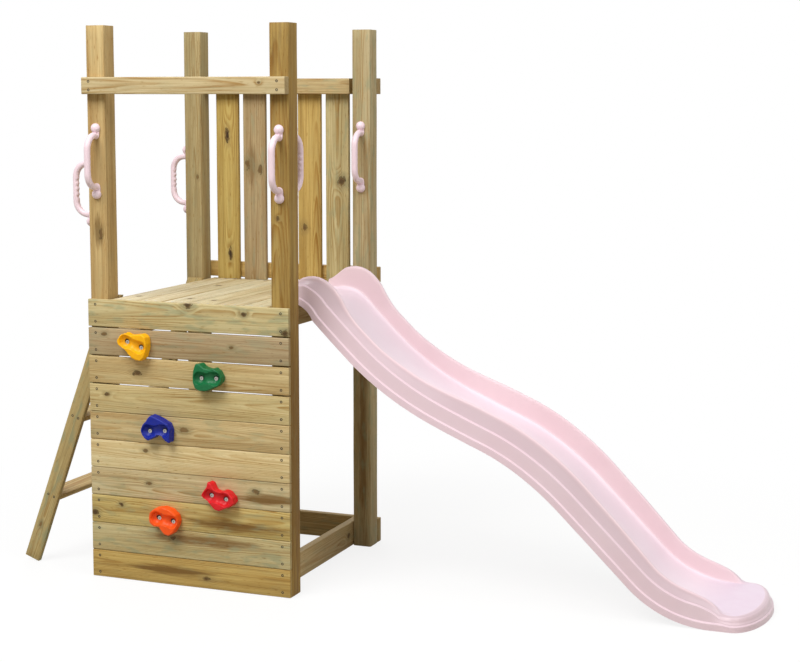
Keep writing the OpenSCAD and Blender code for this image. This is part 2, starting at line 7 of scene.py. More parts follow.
import bmesh
import bpy
from mathutils import Matrix, Vector, noise


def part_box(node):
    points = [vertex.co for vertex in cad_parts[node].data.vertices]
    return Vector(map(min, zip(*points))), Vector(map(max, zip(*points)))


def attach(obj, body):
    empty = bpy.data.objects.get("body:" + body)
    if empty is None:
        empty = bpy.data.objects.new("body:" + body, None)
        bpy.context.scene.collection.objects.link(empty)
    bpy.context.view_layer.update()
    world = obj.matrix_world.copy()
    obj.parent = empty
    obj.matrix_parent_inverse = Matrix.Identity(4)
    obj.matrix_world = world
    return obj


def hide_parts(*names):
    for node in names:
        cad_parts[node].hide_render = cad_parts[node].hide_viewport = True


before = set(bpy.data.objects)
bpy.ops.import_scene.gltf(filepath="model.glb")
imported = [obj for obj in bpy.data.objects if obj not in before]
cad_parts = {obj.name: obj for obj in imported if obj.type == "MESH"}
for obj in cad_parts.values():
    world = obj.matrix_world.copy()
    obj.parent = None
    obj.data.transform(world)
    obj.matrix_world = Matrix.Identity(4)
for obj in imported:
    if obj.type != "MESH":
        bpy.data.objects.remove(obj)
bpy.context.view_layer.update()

bl_info = {
    "name": "Wooden climbing frame",
    "version": (1, 0, 0),
    "blender": (4, 5, 0),
    "location": "3D View > Sidebar > Climbing frame",
    "description": "Dresses the climbing frame's solids with planed timber and moulded plastic",
    "category": "Object",
}

MM = 0.001
# The tower's front left corner on the ground: places below are in millimetres from it
CORNER = Vector(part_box("post_front_left")[0])
X, Y, Z = Vector((1, 0, 0)), Vector((0, 1, 0)), Vector((0, 0, 1))


def at(x, y, z):
    """A place given in millimetres from the tower's front left corner, in the scene's metres."""
    return CORNER + Vector((x, y, z)) * MM


def linear(code):
    """An sRGB hex colour as linear red, green and blue."""
    parts = [int(code[i:i + 2], 16) / 255 for i in (1, 3, 5)]
    return tuple(c / 12.92 if c <= 0.04045 else ((c + 0.055) / 1.055) ** 2.4 for c in parts)


def clamp(share):
    """Keeps a share between 0 and 1."""
    return min(max(share, 0), 1)


# How each board was grown: colour, brown heartwood, green and grey stain from the treatment,
# knots (along, across, radius in mm from the board's middle), a brown patch (along, across, length), and
# how long and how dark the knots are. On the two right posts the patch lies at the foot below the deck:
# there it is partly brown wood and partly painted shade.
Look = namedtuple("Look", "tint heart green grey knots patch long dark",
                  defaults=((), None, 1.4, 0.5))
LOOKS = {
    "post_front_left": Look("#C8AC76", 0.2, 0.1, 0.05, ((241, 11, 7),), (255, 2, 60), 2.2, 0.3),
    # This post's low patch below the deck: partly brown wood, partly painted shade
    "post_front_right": Look("#A08246", 0.3, 0.1, 0.0, ((310, -8, 5),), (-470, 35, 560)),
    "post_back_left": Look("#AA986B", 0.2, 0.2, 0.1, ((402, 18, 5),), None, 1.6, 0.0),
    # This post's low patch below the deck: partly brown wood, partly painted shade
    "post_back_right": Look("#BAA97F", 0.2, 0.45, 0.15, (), (-560, 4, 420)),
    "wall_plank_10": Look("#CABA89", 0.1, 0.5, 0.1, ((6, 41, 10), (211, 20, 7), (362, -34, 9)),
                          None, 1.4, 0.8),
    "wall_plank_9": Look("#B49D75", 0.2, 0.35, 0.4, ((-312, 25, 6), (167, 5, 5)), None, 1.6, 0.3),
    "wall_plank_8": Look("#CBB482", 0.2, 0.1, 0.0, ((-187, -5, 8),), None, 1.8, 0.6),
    "wall_plank_7": Look("#CEBB88", 0.1, 0.1, 0.05, ((-305, 12, 5),), None, 1.8, 0.6),
    "wall_plank_6": Look("#C7B080", 0.15, 0.3, 0.0, ((-14, 6, 8),), None, 2.0, 0.0),
    "wall_plank_5": Look("#DBC695", 0.05, 0.1, 0.0, ((-161, 22, 5),), None, 2.0, 0.3),
    "wall_plank_4": Look("#D0BE92", 0.4, 0.35, 0.15, ((250, 12, 7), (-148, 6, 6)), (300, -10, 140),
                         1.6, 0.3),
    "wall_plank_3": Look("#C8B170", 0.35, 0.3, 0.05, ((-360, -14, 9), (-256, 22, 6)), (170, -16, 210),
                         1.3, 0.8),
    "wall_plank_2": Look("#C5B583", 0.2, 0.5, 0.2, ((-60, 20, 6),), (60, 20, 240)),
    "wall_plank_1": Look("#C3A560", 0.35, 0.1, 0.05, ((64, -12, 6),), (-60, 4, 170), 2.4, 0.7),
    "slat_1": Look("#BEA45E", 0.3, 0.05, 0.0, ((166, 0, 8), (-276, 9, 7)), None, 3.0, 1.0),
    "slat_2": Look("#B39B70", 0.2, 0.35, 0.3, ((60, -28, 9), (40, 23, 8)), (60, -10, 90), 1.8, 0.3),
    "slat_3": Look("#C3AB7C", 0.2, 0.2, 0.1, ((210, 8, 7),)),
    "slat_4": Look("#C3A560", 0.35, 0.05, 0.0, ((-170, -20, 10),), None, 1.2, 0.4),
    "slat_5": Look("#C2B281", 0.2, 0.4, 0.1, ((2, 18, 14),), None, 1.1, 0.7),
    "front_rail": Look("#CAB78C", 0.15, 0.1, 0.05, ((281, 8, 4),)),
    "back_rail_inner": Look("#BFA877", 0.1, 0.4, 0.2, ((6, 4, 9),)),
    "back_rail_low": Look("#CBAA68", 0.3, 0.1, 0.0),
    "ladder_side_front": Look("#BAA570", 0.1, 0.6, 0.15, ((-382, 6, 5),), None, 1.8, 0.0),
    "ladder_side_back": Look("#BFA76E", 0.1, 0.4, 0.15, ((180, -6, 8),)),
}
# Colours of the boards that aren't listed, and of the deck's boards
PLAIN = ("#C3AC7C", "#BFA876", "#C8B184", "#BDA67A", "#C6AD78")
DECK_TINTS = ("#D5C9A4", "#D0C29A", "#D8CEAC", "#D3C69E", "#CEBF98", "#D7CCA7")
# Place of a knot or patch that a board doesn't have
NOWHERE = (1e5, 0.0, 1.0)
# Shades in the wood that aren't settings
LATE_WOOD, RESIN, HALO = "#D6BC92", "#C9AD80", "#8A7144"
KNOT_RIM, BURNT, SAWN_END = "#43351F", "#3A2B18", "#8F7648"
# What the plastic's clouds take from each colour, and the light that the floor throws back
CLOUDED, THROWN_BACK = (0.95, 0.88, 0.9), (0.4, 0.37, 0.28)


# Settings that a user would change

class TimberSettings(bpy.types.PropertyGroup):
    """Sizes and colours of the boards"""
    board_round: bpy.props.FloatProperty(
        name="Board rounding", description="Rounding of a board's planed edges",
        default=3 * MM, unit="LENGTH")
    post_round: bpy.props.FloatProperty(
        name="Post rounding", description="Rounding of a post's long edges",
        default=5 * MM, unit="LENGTH")
    end_round: bpy.props.FloatProperty(
        name="End rounding", description="Rounding of the sawn ends' edges",
        default=1.4 * MM, unit="LENGTH")
    planed_off: bpy.props.FloatProperty(
        name="Planed off", description="Depth by which screw heads stand proud of the wood",
        default=0.3 * MM, unit="LENGTH")
    waver: bpy.props.FloatProperty(
        name="Edge waver", description="How far a board's edges waver inwards along its length",
        default=1.3 * MM, unit="LENGTH")
    ring_width: bpy.props.FloatProperty(
        name="Ring width", description="Width of one growth ring, in millimetres",
        default=4.2, min=1.0, max=12.0)
    heartwood: bpy.props.FloatVectorProperty(
        name="Heartwood", description="Colour of brown heartwood", subtype="COLOR",
        default=linear("#7B5A28"))
    stain: bpy.props.FloatVectorProperty(
        name="Treatment stain", description="Colour of the green stain that the treatment leaves",
        subtype="COLOR", default=linear("#8C9676"))
    weathered: bpy.props.FloatVectorProperty(
        name="Weathered grey", description="Colour of greyed wood", subtype="COLOR",
        default=linear("#A39782"))
    knot: bpy.props.FloatVectorProperty(
        name="Knot", description="Colour of a knot's core", subtype="COLOR",
        default=linear("#7A5C36"))


class PlasticSettings(bpy.types.PropertyGroup):
    """Colours of the moulded and cast pieces and of the fasteners"""
    # The slide is one pink: its bed, nose, wall and skirt colours paint light and shade into it, the
    # upward-facing bed lightest and the nose, walls and skirts darker
    bed: bpy.props.FloatVectorProperty(
        name="Slide's bed", description="Colour of the slide's bed, which looks to the sky", subtype="COLOR",
        default=linear("#F0DEE7"))
    nose: bpy.props.FloatVectorProperty(
        name="Slide's nose", description="Colour of the flat end, where the bed runs out", subtype="COLOR",
        default=linear("#DFCDDB"))
    wall: bpy.props.FloatVectorProperty(
        name="Slide's walls", description="Colour inside the rims, where the pink throws light on itself",
        subtype="COLOR", default=linear("#E6CBD0"))
    skirt: bpy.props.FloatVectorProperty(
        name="Slide's skirts", description="Colour of the slide's outside", subtype="COLOR",
        default=linear("#E3CBD3"))
    handle: bpy.props.FloatVectorProperty(
        name="Handles", description="Colour of handles and caps", subtype="COLOR",
        default=linear("#EFD8E0"))
    yellow: bpy.props.FloatVectorProperty(
        name="Yellow stone", description="Colour of the yellow stone", subtype="COLOR",
        default=linear("#FFB800"))
    green: bpy.props.FloatVectorProperty(
        name="Green stone", description="Colour of the green stone", subtype="COLOR",
        default=linear("#0A6B3A"))
    blue: bpy.props.FloatVectorProperty(
        name="Blue stone", description="Colour of the blue stone", subtype="COLOR",
        default=linear("#0B2193"))
    red: bpy.props.FloatVectorProperty(
        name="Red stone", description="Colour of the red stone", subtype="COLOR",
        default=linear("#DD1A22"))
    orange: bpy.props.FloatVectorProperty(
        name="Orange stone", description="Colour of the orange stone", subtype="COLOR",
        default=linear("#FF5A10"))
    # Partly the zinc's own grey, partly painted shade: set dark to stand for the shade in the screws'
    # countersinks
    zinc: bpy.props.FloatVectorProperty(
        name="Dark zinc", description="Colour of the screws that hold the frame", subtype="COLOR",
        default=linear("#5C5447"))
    bright_zinc: bpy.props.FloatVectorProperty(
        name="Bright zinc", description="Colour of the bolts in the stones and of the deck's screws",
        subtype="COLOR", default=linear("#D8D4CC"))


class StageSettings(bpy.types.PropertyGroup):
    """Floor and light"""
    floor: bpy.props.FloatVectorProperty(
        name="Floor", description="Colour of the floor", subtype="COLOR", default=linear("#F4F3F1"))
    key_power: bpy.props.FloatProperty(
        name="Key light", description="Power of the large soft lamp at the front left", default=314.0,
        unit="POWER")
    fill_power: bpy.props.FloatProperty(
        name="Fill light", description="Power of the soft lamp at the right", default=122.0, unit="POWER")
    back_power: bpy.props.FloatProperty(
        name="Back light", description="Power of the soft lamp behind, for the far sides", default=100.0,
        unit="POWER")
    sky: bpy.props.FloatProperty(
        name="Surround", description="Strength of the even light from all sides", default=0.35)


class ClimbingFrameSettings(bpy.types.PropertyGroup):
    """All settings of the climbing frame"""
    timber: bpy.props.PointerProperty(type=TimberSettings)
    plastic: bpy.props.PointerProperty(type=PlasticSettings)
    stage: bpy.props.PointerProperty(type=StageSettings)


def settings():
    return bpy.context.scene.climbing_frame


# Materials

def feed(node, inputs):
    """Sets a node's sockets: to a value, or linked to a socket or to another node's first output."""
    for key, value in inputs.items():
        socket = node.inputs[key]
        if isinstance(value, bpy.types.Node):
            value = value.outputs[0]
        if isinstance(value, bpy.types.NodeSocket):
            node.id_data.links.new(value, socket)
        else:
            socket.default_value = (*value[:3], 1) if socket.type == "RGBA" else value


def add_node(tree, kind, inputs=(), operation=None, **options):
    """Adds one shader node: inputs feed its sockets, operation is the sum that a math node does, and
    options are its other settings."""
    node = tree.nodes.new("ShaderNode" + kind)
    if operation:
        node.operation = operation
    for key, value in options.items():
        setattr(node, key, value)
    feed(node, dict(inputs))
    return node


# A range that starts and ends softly
SOFT = {"interpolation_type": "SMOOTHSTEP"}


def start_material(name, **sockets):
    """A new material, the function that adds nodes to it, and its shader with constant sockets set."""
    material = bpy.data.materials.new(name)
    material.use_nodes = True
    shader = material.node_tree.nodes["Principled BSDF"]
    feed(shader, {key.replace("_", " "): value for key, value in sockets.items()})
    return material, partial(add_node, material.node_tree), shader


def finished(name, make):
    """The material of that name, made once."""
    return bpy.data.materials.get(name) or make(name)


def treated_pine(name):
    """Pressure-treated pine, planed: long soft streaks with growth rings that close to arches, knots with
    dark rims, brown heartwood, green stain left by the treatment and a dull, slightly furry surface. A brown
    patch at the foot of the two right posts is partly painted shade."""
    s = settings().timber
    material, add, shader = start_material(name, Specular_IOR_Level=0.25)
    stored = {key: add("Attribute", attribute_name=key).outputs for key in (
        "grain", "figure", "tint", "look", "pith", "shape", "dark", "patch", "end")}
    grain, figure, shape, patch = (stored[key]["Vector"] for key in ("grain", "figure", "shape", "patch"))
    part, look, pith, spot = (add("SeparateXYZ", {0: stored[key]["Vector"]}).outputs
                              for key in ("grain", "look", "pith", "patch"))
    dark = stored["dark"]["Fac"]

    def figure_of(along, across, detail=2.0):
        """A cloudy pattern whose clouds have these lengths in millimetres along and across the grain."""
        place = add("VectorMath", {0: figure, 1: (1 / along, 1 / across, 1 / across)}, "MULTIPLY")
        return add("TexNoise", {"Vector": place, "Scale": 1.0, "Detail": detail})

    # Growth rings: distance from the pith, which runs at a slight angle to the board
    tilt = add("Math", {0: part["X"], 1: pith["Z"]}, "MULTIPLY")
    deep = add("Math", {0: pith["Y"], 1: tilt}, "ADD")
    side = add("Math", {0: part["Y"], 1: pith["X"]}, "SUBTRACT")
    down = add("Math", {0: part["Z"], 1: deep}, "SUBTRACT")
    offset = add("CombineXYZ", {0: side, 1: down})
    radius = add("VectorMath", {0: offset}, "LENGTH").outputs["Value"]
    sway = add("MapRange", {0: figure_of(420, 70), 3: -6.0, 4: 6.0})
    radius = add("Math", {0: radius, 1: sway}, "ADD")

    # Knots: an uneven core with a broken dark rim, and rings that flow round it
    uneven = add("MapRange", {0: figure_of(16, 11, 3.0), 3: -0.75, 4: 0.75})
    nearest = None
    for i in (1, 2, 3):
        knot = add("Attribute", attribute_name=f"knot_{i}").outputs["Vector"]
        size = add("SeparateXYZ", {0: knot}).outputs["Z"]
        gap = add("VectorMath", {0: grain, 1: knot}, "SUBTRACT")
        flat = add("VectorMath", {0: gap, 1: shape}, "MULTIPLY")
        away = add("VectorMath", {0: flat}, "LENGTH").outputs["Value"]
        away = add("Math", {0: away, 1: size}, "DIVIDE")
        square = add("Math", {0: away, 1: away}, "MULTIPLY")
        fade = add("Math", {0: square, 1: -0.16}, "MULTIPLY")
        push = add("Math", {0: fade}, "EXPONENT")
        push = add("Math", {0: push, 1: size}, "MULTIPLY")
        radius = add("Math", {0: push, 1: 1.1, 2: radius}, "MULTIPLY_ADD")
        nearest = add("Math", {0: away, 1: nearest or 1e4}, "MINIMUM")
    nearest = add("Math", {0: nearest, 1: uneven}, "ADD")
    core = add("MapRange", {0: nearest, 1: 1.05, 2: 0.7, 4: 0.85}, **SOFT)
    halo = add("MapRange", {0: nearest, 1: 3.2, 2: 0.9}, **SOFT)
    edge = add("Math", {0: nearest, 1: 1.0, 2: 0.28}, "COMPARE")
    broken = add("MapRange", {0: figure_of(22, 14), 1: 0.38, 2: 0.6, 4: 0.85})
    ring = add("Math", {0: dark, 1: 0.4}, "ADD", use_clamp=True)
    rim = add("Math", {0: edge, 1: broken}, "MULTIPLY")
    rim = add("Math", {0: rim, 1: ring}, "MULTIPLY")
    burnt = add("MapRange", {0: nearest, 1: 0.95, 2: 0.35}, **SOFT)
    burnt = add("Math", {0: burnt, 1: dark}, "MULTIPLY")

    turns = add("Math", {0: radius, 1: s.ring_width}, "DIVIDE")
    saw = add("Math", {0: turns}, "FRACT")
    rise = add("MapRange", {0: saw, 1: 0.2, 2: 0.8}, **SOFT)
    drop = add("MapRange", {0: saw, 1: 1.0, 2: 0.86}, **SOFT)
    late = add("Math", {0: rise, 1: drop}, "MULTIPLY")
    clear = add("MapRange", {0: figure_of(380, 26, 3.0), 1: 0.36, 2: 0.66})
    late = add("Math", {0: late, 1: clear}, "MULTIPLY")
    fibre = figure_of(110, 3.4, 3.0)
    streak = figure_of(650, 7.0, 3.0)
    broad = figure_of(520, 45)

    # Brown heartwood in long bands and in one ragged patch; on the two right posts the patch covers the foot
    # below the deck, partly brown wood and partly painted shade
    gap = add("SeparateXYZ", {0: add("VectorMath", {0: grain, 1: patch}, "SUBTRACT")}).outputs
    ahead = add("Math", {0: gap["X"], 1: spot["Z"]}, "DIVIDE")
    beside = add("Math", {0: gap["Y"], 1: 20.0}, "DIVIDE")
    away = add("CombineXYZ", {0: ahead, 1: beside})
    away = add("VectorMath", {0: away}, "LENGTH").outputs["Value"]
    ragged = add("MapRange", {0: figure_of(90, 8, 3.0), 3: -0.65, 4: 0.65})
    away = add("Math", {0: away, 1: ragged}, "ADD")
    brown = add("MapRange", {0: away, 1: 1.2, 2: 0.35, 4: 0.85}, **SOFT)
    bands = add("MapRange", {0: figure_of(700, 18, 3.0), 1: 0.46, 2: 0.72}, **SOFT)
    heart = add("Math", {0: bands, 1: look["X"], 2: brown}, "MULTIPLY_ADD", use_clamp=True)

    # Green stain in blots, stronger near knots, and grey weathering
    blots = add("MapRange", {0: figure_of(75, 20), 1: 0.5, 2: 0.7}, **SOFT)
    blots = add("Math", {0: halo, 1: 0.7, 2: blots}, "MULTIPLY_ADD", use_clamp=True)
    green = add("Math", {0: blots, 1: look["Y"]}, "MULTIPLY")
    dull = add("Math", {0: broad, 1: look["Z"]}, "MULTIPLY")

    # Short dark dashes of resin
    dashes = add("MapRange", {0: figure_of(26, 3.2), 1: 0.62, 2: 0.76, 4: 0.8})
    shade = add("Math", {0: halo, 1: 0.34}, "MULTIPLY")
    cut = add("Math", {0: stored["end"]["Fac"], 1: 0.55}, "MULTIPLY")

    colour = stored["tint"]["Color"]
    for share, tone, blend in (
            (late, linear(LATE_WOOD), "MULTIPLY"), (0.5, fibre, "SOFT_LIGHT"), (0.6, streak, "SOFT_LIGHT"),
            (0.5, broad, "SOFT_LIGHT"), (heart, s.heartwood, "MIX"), (green, s.stain, "MIX"),
            (dull, s.weathered, "MIX"), (dashes, linear(RESIN), "MULTIPLY"), (shade, linear(HALO), "MIX"),
            (core, s.knot, "MIX"), (rim, linear(KNOT_RIM), "MIX"), (burnt, linear(BURNT), "MIX"),
            (cut, linear(SAWN_END), "MIX")):
        colour = add("Mix", {0: share, 6: colour, 7: tone}, data_type="RGBA", blend_type=blend).outputs[2]

    # Surface: dull, smoother on the hard late wood and on knots, with the fibres standing up a little
    gloss = add("MapRange", {0: late, 3: 0.74, 4: 0.6})
    height = add("Math", {0: late, 1: 0.4, 2: fibre}, "MULTIPLY_ADD")
    height = add("Math", {0: core, 1: 0.6, 2: height}, "MULTIPLY_ADD")
    bump = add("Bump", {"Strength": 0.35, "Distance": 0.0009, "Height": height})
    feed(shader, {"Base Color": colour, "Roughness": gloss, "Normal": bump})
    return material


def moulded_pink(name, grit, gloss):
    """Polyethylene, rotation or blow moulded: satin, faintly uneven like skin, scuffed here and there."""
    material, add, shader = start_material(name, IOR=1.5)
    place = add("TexCoord").outputs["Object"]
    cloud = add("TexNoise", {"Vector": place, "Scale": 7.0, "Detail": 3.0})
    shift = add("MapRange", {0: cloud, 1: 0.3, 2: 0.7, 4: 0.35})
    # Each piece's colour: the handles' even pink, and on the slide the one pink with painted light and shade
    tone = add("Attribute", attribute_name="tone").outputs["Color"]
    tone = add("Mix", {0: shift, 6: tone, 7: CLOUDED}, data_type="RGBA", blend_type="MULTIPLY").outputs[2]
    # Skin of the mould: grit in millimetres, drawn coarse enough to show
    skin = add("TexNoise", {"Vector": place, "Scale": 1000.0 / grit, "Detail": 2.0})
    scuff = add("TexNoise", {"Vector": place, "Scale": 22.0, "Detail": 6.0})
    rough = add("MapRange", {0: scuff, 1: 0.35, 2: 0.7, 3: gloss, 4: gloss + 0.14})
    bump = add("Bump", {"Strength": 0.12, "Distance": 0.0006, "Height": skin})
    feed(shader, {"Base Color": tone, "Roughness": rough, "Normal": bump})
    return material


def cast_stone(name, colour):
    """Cast polyester resin with sand: full colour, fine grit on the face, a low sheen on the bumps, and
    painted shade round the bolt holes.
    """
    material, add, shader = start_material(name, IOR=1.53, Specular_IOR_Level=0.3)
    place = add("TexCoord").outputs["Object"]
    # Sand grains of about 2 mm, drawn coarser than the real half millimetre so that they show
    sand = add("TexNoise", {"Vector": place, "Scale": 480.0, "Detail": 3.0})
    cloud = add("TexNoise", {"Vector": place, "Scale": 30.0, "Detail": 2.0})
    shift = add("MapRange", {0: cloud, 1: 0.3, 2: 0.7, 4: 0.5})
    deep = tuple(c * 0.72 for c in colour)
    tone = add("Mix", {0: shift, 6: colour, 7: deep}, data_type="RGBA").outputs[2]
    # Painted shade in the bolt holes: a dark rim round each hole
    hole = add("Attribute", attribute_name="hole").outputs["Fac"]
    hole_shade = tuple(c * 0.15 for c in colour)
    tone = add("Mix", {0: hole, 6: tone, 7: hole_shade}, data_type="RGBA").outputs[2]
    rough = add("MapRange", {0: sand, 3: 0.32, 4: 0.54})
    bump = add("Bump", {"Strength": 0.3, "Distance": 0.0008, "Height": sand})
    feed(shader, {"Base Color": tone, "Roughness": rough, "Normal": bump})
    return material


def plated_zinc(name, colour):
    """Zinc-plated steel, passivated: a dull grey metal with a cloudy, faintly yellow bloom."""
    material, add, shader = start_material(name, Metallic=0.85)
    place = add("TexCoord").outputs["Object"]
    bloom = add("TexNoise", {"Vector": place, "Scale": 160.0, "Detail": 3.0})
    deep = tuple(c * 0.5 for c in colour)
    tone = add("Mix", {0: bloom, 6: colour, 7: deep}, data_type="RGBA").outputs[2]
    rough = add("MapRange", {0: bloom, 3: 0.35, 4: 0.55})
    feed(shader, {"Base Color": tone, "Roughness": rough})
    return material


def seen_directly(add):
    """1 for what the camera sees, also in a mirror or through a pane, and 0 for light on its way."""
    light = add("LightPath").outputs
    seen = add("Math", {0: light["Is Camera Ray"], 1: light["Is Glossy Ray"]}, "MAXIMUM")
    return add("Math", {0: seen, 1: light["Is Transmission Ray"]}, "MAXIMUM")


# Modelling helpers

def clear_selection():
    """Leaves edit mode with no piece selected."""
    if bpy.context.mode != "OBJECT":
        bpy.ops.object.mode_set(mode="OBJECT")
    bpy.ops.object.select_all(action="DESELECT")


def activate(piece):
    """Makes one piece the active one and the only one selected."""
    clear_selection()
    piece.select_set(True)
    bpy.context.view_layer.objects.active = piece


def edit(piece):
    """Opens one piece in edit mode with nothing selected and returns its edit mesh."""
    activate(piece)
    bpy.ops.object.mode_set(mode="EDIT")
    bpy.ops.mesh.select_mode(type="VERT")
    bpy.ops.mesh.select_all(action="DESELECT")
    return bmesh.from_edit_mesh(piece.data)


def pick_edges(piece, test):
    """Selects the edges that pass a test, in the piece open in edit mode."""
    bm = bmesh.from_edit_mesh(piece.data)
    bpy.ops.mesh.select_all(action="DESELECT")
    for edge in bm.edges:
        if test(edge):
            edge.select_set(True)
    bmesh.update_edit_mesh(piece.data)


def extrude(*move):
    """Extrudes what is selected."""
    bpy.ops.mesh.extrude_region_move(TRANSFORM_OT_translate={"value": move})


def bevel_sharp(angle, offset, segments):
    """Bevels all edges sharper than an angle in degrees and leaves edit mode."""
    bpy.ops.mesh.select_all(action="DESELECT")
    bpy.ops.mesh.edges_select_sharp(sharpness=math.radians(angle))
    bpy.ops.mesh.bevel(offset=offset, segments=segments, affect="EDGES")
    bpy.ops.object.mode_set(mode="OBJECT")


def turn_outwards():
    """Turns all faces to look outwards and leaves edit mode."""
    bpy.ops.mesh.select_all(action="SELECT")
    bpy.ops.mesh.normals_make_consistent(inside=False)
    bpy.ops.object.mode_set(mode="OBJECT")


def apply_all(piece):
    """Puts the piece's place, turn and size into its mesh."""
    activate(piece)
    bpy.ops.object.transform_apply(location=True, rotation=True, scale=True)


def added():
    """The piece just added, with its place and size in its mesh."""
    piece = bpy.context.object
    apply_all(piece)
    return piece


def modify(piece, kind, **options):
    """Adds a modifier and applies it."""
    activate(piece)
    modifier = piece.modifiers.new(kind.title(), kind)
    for key, value in options.items():
        setattr(modifier, key, value)
    bpy.ops.object.modifier_apply(modifier=modifier.name)


def soften(piece, cell, rounds):
    """Makes one skin of small cells out of a piece and evens it out."""
    modify(piece, "REMESH", mode="VOXEL", voxel_size=cell)
    modify(piece, "SMOOTH", factor=0.5, iterations=rounds)


def cut_away(piece, tool):
    """Cuts another piece out of a piece and removes it."""
    modify(piece, "BOOLEAN", operation="DIFFERENCE", object=tool, solver="EXACT")
    remove(tool)


def smooth(piece, angle=40):
    """Shades a piece smoothly across edges flatter than an angle in degrees."""
    activate(piece)
    bpy.ops.object.shade_smooth_by_angle(angle=math.radians(angle))


def copy_of(piece, name):
    """A copy with its own mesh."""
    twin = piece.copy()
    twin.data = piece.data.copy()
    twin.name = name
    bpy.context.scene.collection.objects.link(twin)
    return twin


def remove(piece):
    bpy.data.objects.remove(piece, do_unlink=True)


def join(pieces, name):
    """Makes one piece of several."""
    activate(pieces[0])
    for piece in pieces:
        piece.select_set(True)
    bpy.ops.object.join()
    pieces[0].name = name
    return pieces[0]


def mark(piece, name, values):
    """Stores three numbers at each vertex, for the materials."""
    layer = piece.data.attributes.new(name, "FLOAT_VECTOR", "POINT")
    layer.data.foreach_set("vector", [c for value in values for c in value])


def hand_over(piece, material, slot, *nodes):
    """Gives a finished piece its material, hides the CAD nodes that it stands for and hangs it from the
    root.
    """
    piece.data.materials.clear()
    piece.data.materials.append(material)
    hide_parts(*nodes)
    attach(piece, "root")


# Boards

# Metres from one row of a board's vertices to the next and along one waver of its edge, and how far apart
# the boards lie in the clouds that their figure is cut from
ROW, WAVER_LENGTH, APART = 0.045, 0.22, 900


def board(node, axes, size, middle, rounding=None, slot="treated_pine", trim=None, swell=(0, 0)):
    """A planed board that replaces a CAD node. It is made lying along X with its width along Y, and
    then turned so that X, Y and Z come to lie along axes. trim cuts its far end along a plane, and
    swell moves its two long edges out, where wet wood closes the gap to the next board."""
    s = settings().timber
    chance = random.Random(node)
    length, width, thick = size
    clear_selection()
    bpy.ops.mesh.primitive_cube_add(size=1, scale=size)
    piece = added()
    piece.name = node + "_wood"
    edit(piece)
    pick_edges(piece, lambda e: abs(e.verts[0].co.x - e.verts[1].co.x) > length / 2)
    bpy.ops.mesh.subdivide(number_cuts=max(3, round(length / ROW)))
    if trim:
        bpy.ops.mesh.select_all(action="SELECT")
        bpy.ops.mesh.bisect(plane_co=trim[0], plane_no=trim[1], use_fill=True, clear_outer=True)
    # Long edges are rounded, sawn ends only broken
    bpy.ops.mesh.select_mode(type="EDGE")
    pick_edges(piece, lambda e: abs(e.verts[0].co.x - e.verts[1].co.x) > 0.7 * e.calc_length()
               and e.calc_face_angle(0) > 1)
    bpy.ops.mesh.bevel(offset=rounding or s.board_round, segments=3, affect="EDGES")
    bevel_sharp(50, s.end_round, 2)

    mesh = piece.data
    seed = Vector([chance.uniform(-APART, APART) for _ in range(3)])
    # Edges waver inwards, and the faces are planed back to let the screw heads show
    for vertex in mesh.vertices:
        p = vertex.co
        run = p.x / WAVER_LENGTH + seed.x
        wide = 0.5 + 0.5 * noise.noise(Vector((run, 3.0 if p.y > 0 else -3.0, seed.y)))
        high = 0.5 + 0.5 * noise.noise(Vector((run, 9.0 if p.z > 0 else -9.0, seed.z)))
        out = swell[p.y > 0]
        waver = s.waver * (0.25 if out else 1)
        p.y += math.copysign(1, p.y) * (out - s.planed_off - waver * wide) * min(1, abs(p.y) / (width * 0.4))
        p.z -= math.copysign(s.planed_off + s.planed_off * high, p.z) * min(1, abs(p.z) / (thick * 0.3))

    look = LOOKS.get(node) or Look(chance.choice(PLAIN), 0.2, chance.uniform(0.05, 0.35),
                                   chance.uniform(0, 0.15),
                                   ((chance.uniform(-0.4, 0.4) * length / MM, chance.uniform(-12, 12), 8),))
    if node.startswith("deck_board"):
        look = look._replace(tint=DECK_TINTS[int(node[-1]) - 1])
    knots = [*look.knots, *[NOWHERE] * 3][:3]
    pith = (chance.uniform(-0.3, 0.3) * width / MM, chance.choice((-1, 1)) * chance.uniform(14, 45),
            chance.choice((-1, 1)) * chance.uniform(0.008, 0.03))
    points = [v.co / MM for v in mesh.vertices]
    mark(piece, "grain", points)
    mark(piece, "figure", [p + seed for p in points])
    constant = {"look": (look.heart, look.green, look.grey), "pith": pith, "patch": look.patch or NOWHERE,
                "knot_1": knots[0], "knot_2": knots[1], "knot_3": knots[2], "tint": linear(look.tint),
                "shape": (1 / look.long, 1, 0), "dark": (look.dark,) * 3}
    for name, value in constant.items():
        mark(piece, name, [value] * len(mesh.vertices))
    mesh.attributes.new("end", "FLOAT", "FACE").data.foreach_set(
        "value", [1.0 if abs(f.normal.x) > 0.6 else 0.0 for f in mesh.polygons])

    turn = Matrix(axes).transposed().to_4x4()
    piece.matrix_world = Matrix.Translation(middle) @ turn
    apply_all(piece)
    smooth(piece)
    hand_over(piece, finished("Treated pine, planed", treated_pine), slot, node)


def straight_board(node, along, across, **options):
    """A board that fills its CAD node's box."""
    lo, hi = (Vector(c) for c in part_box(node))
    axes = (along, across, along.cross(across))
    span = hi - lo
    size = [sum(abs(a[i]) * span[i] for i in range(3)) for a in axes]
    board(node, axes, size, (lo + hi) / 2, **options)


class CLIMBFRAME_OT_posts(bpy.types.Operator):
    """Four square posts with rounded edges"""
    bl_idname = "climbframe.posts"
    bl_label = "Posts"

    def execute(self, context):
        for name in ("front_left", "front_right", "back_left", "back_right"):
            straight_board("post_" + name, Z, X, rounding=settings().timber.post_round)
        return {"FINISHED"}


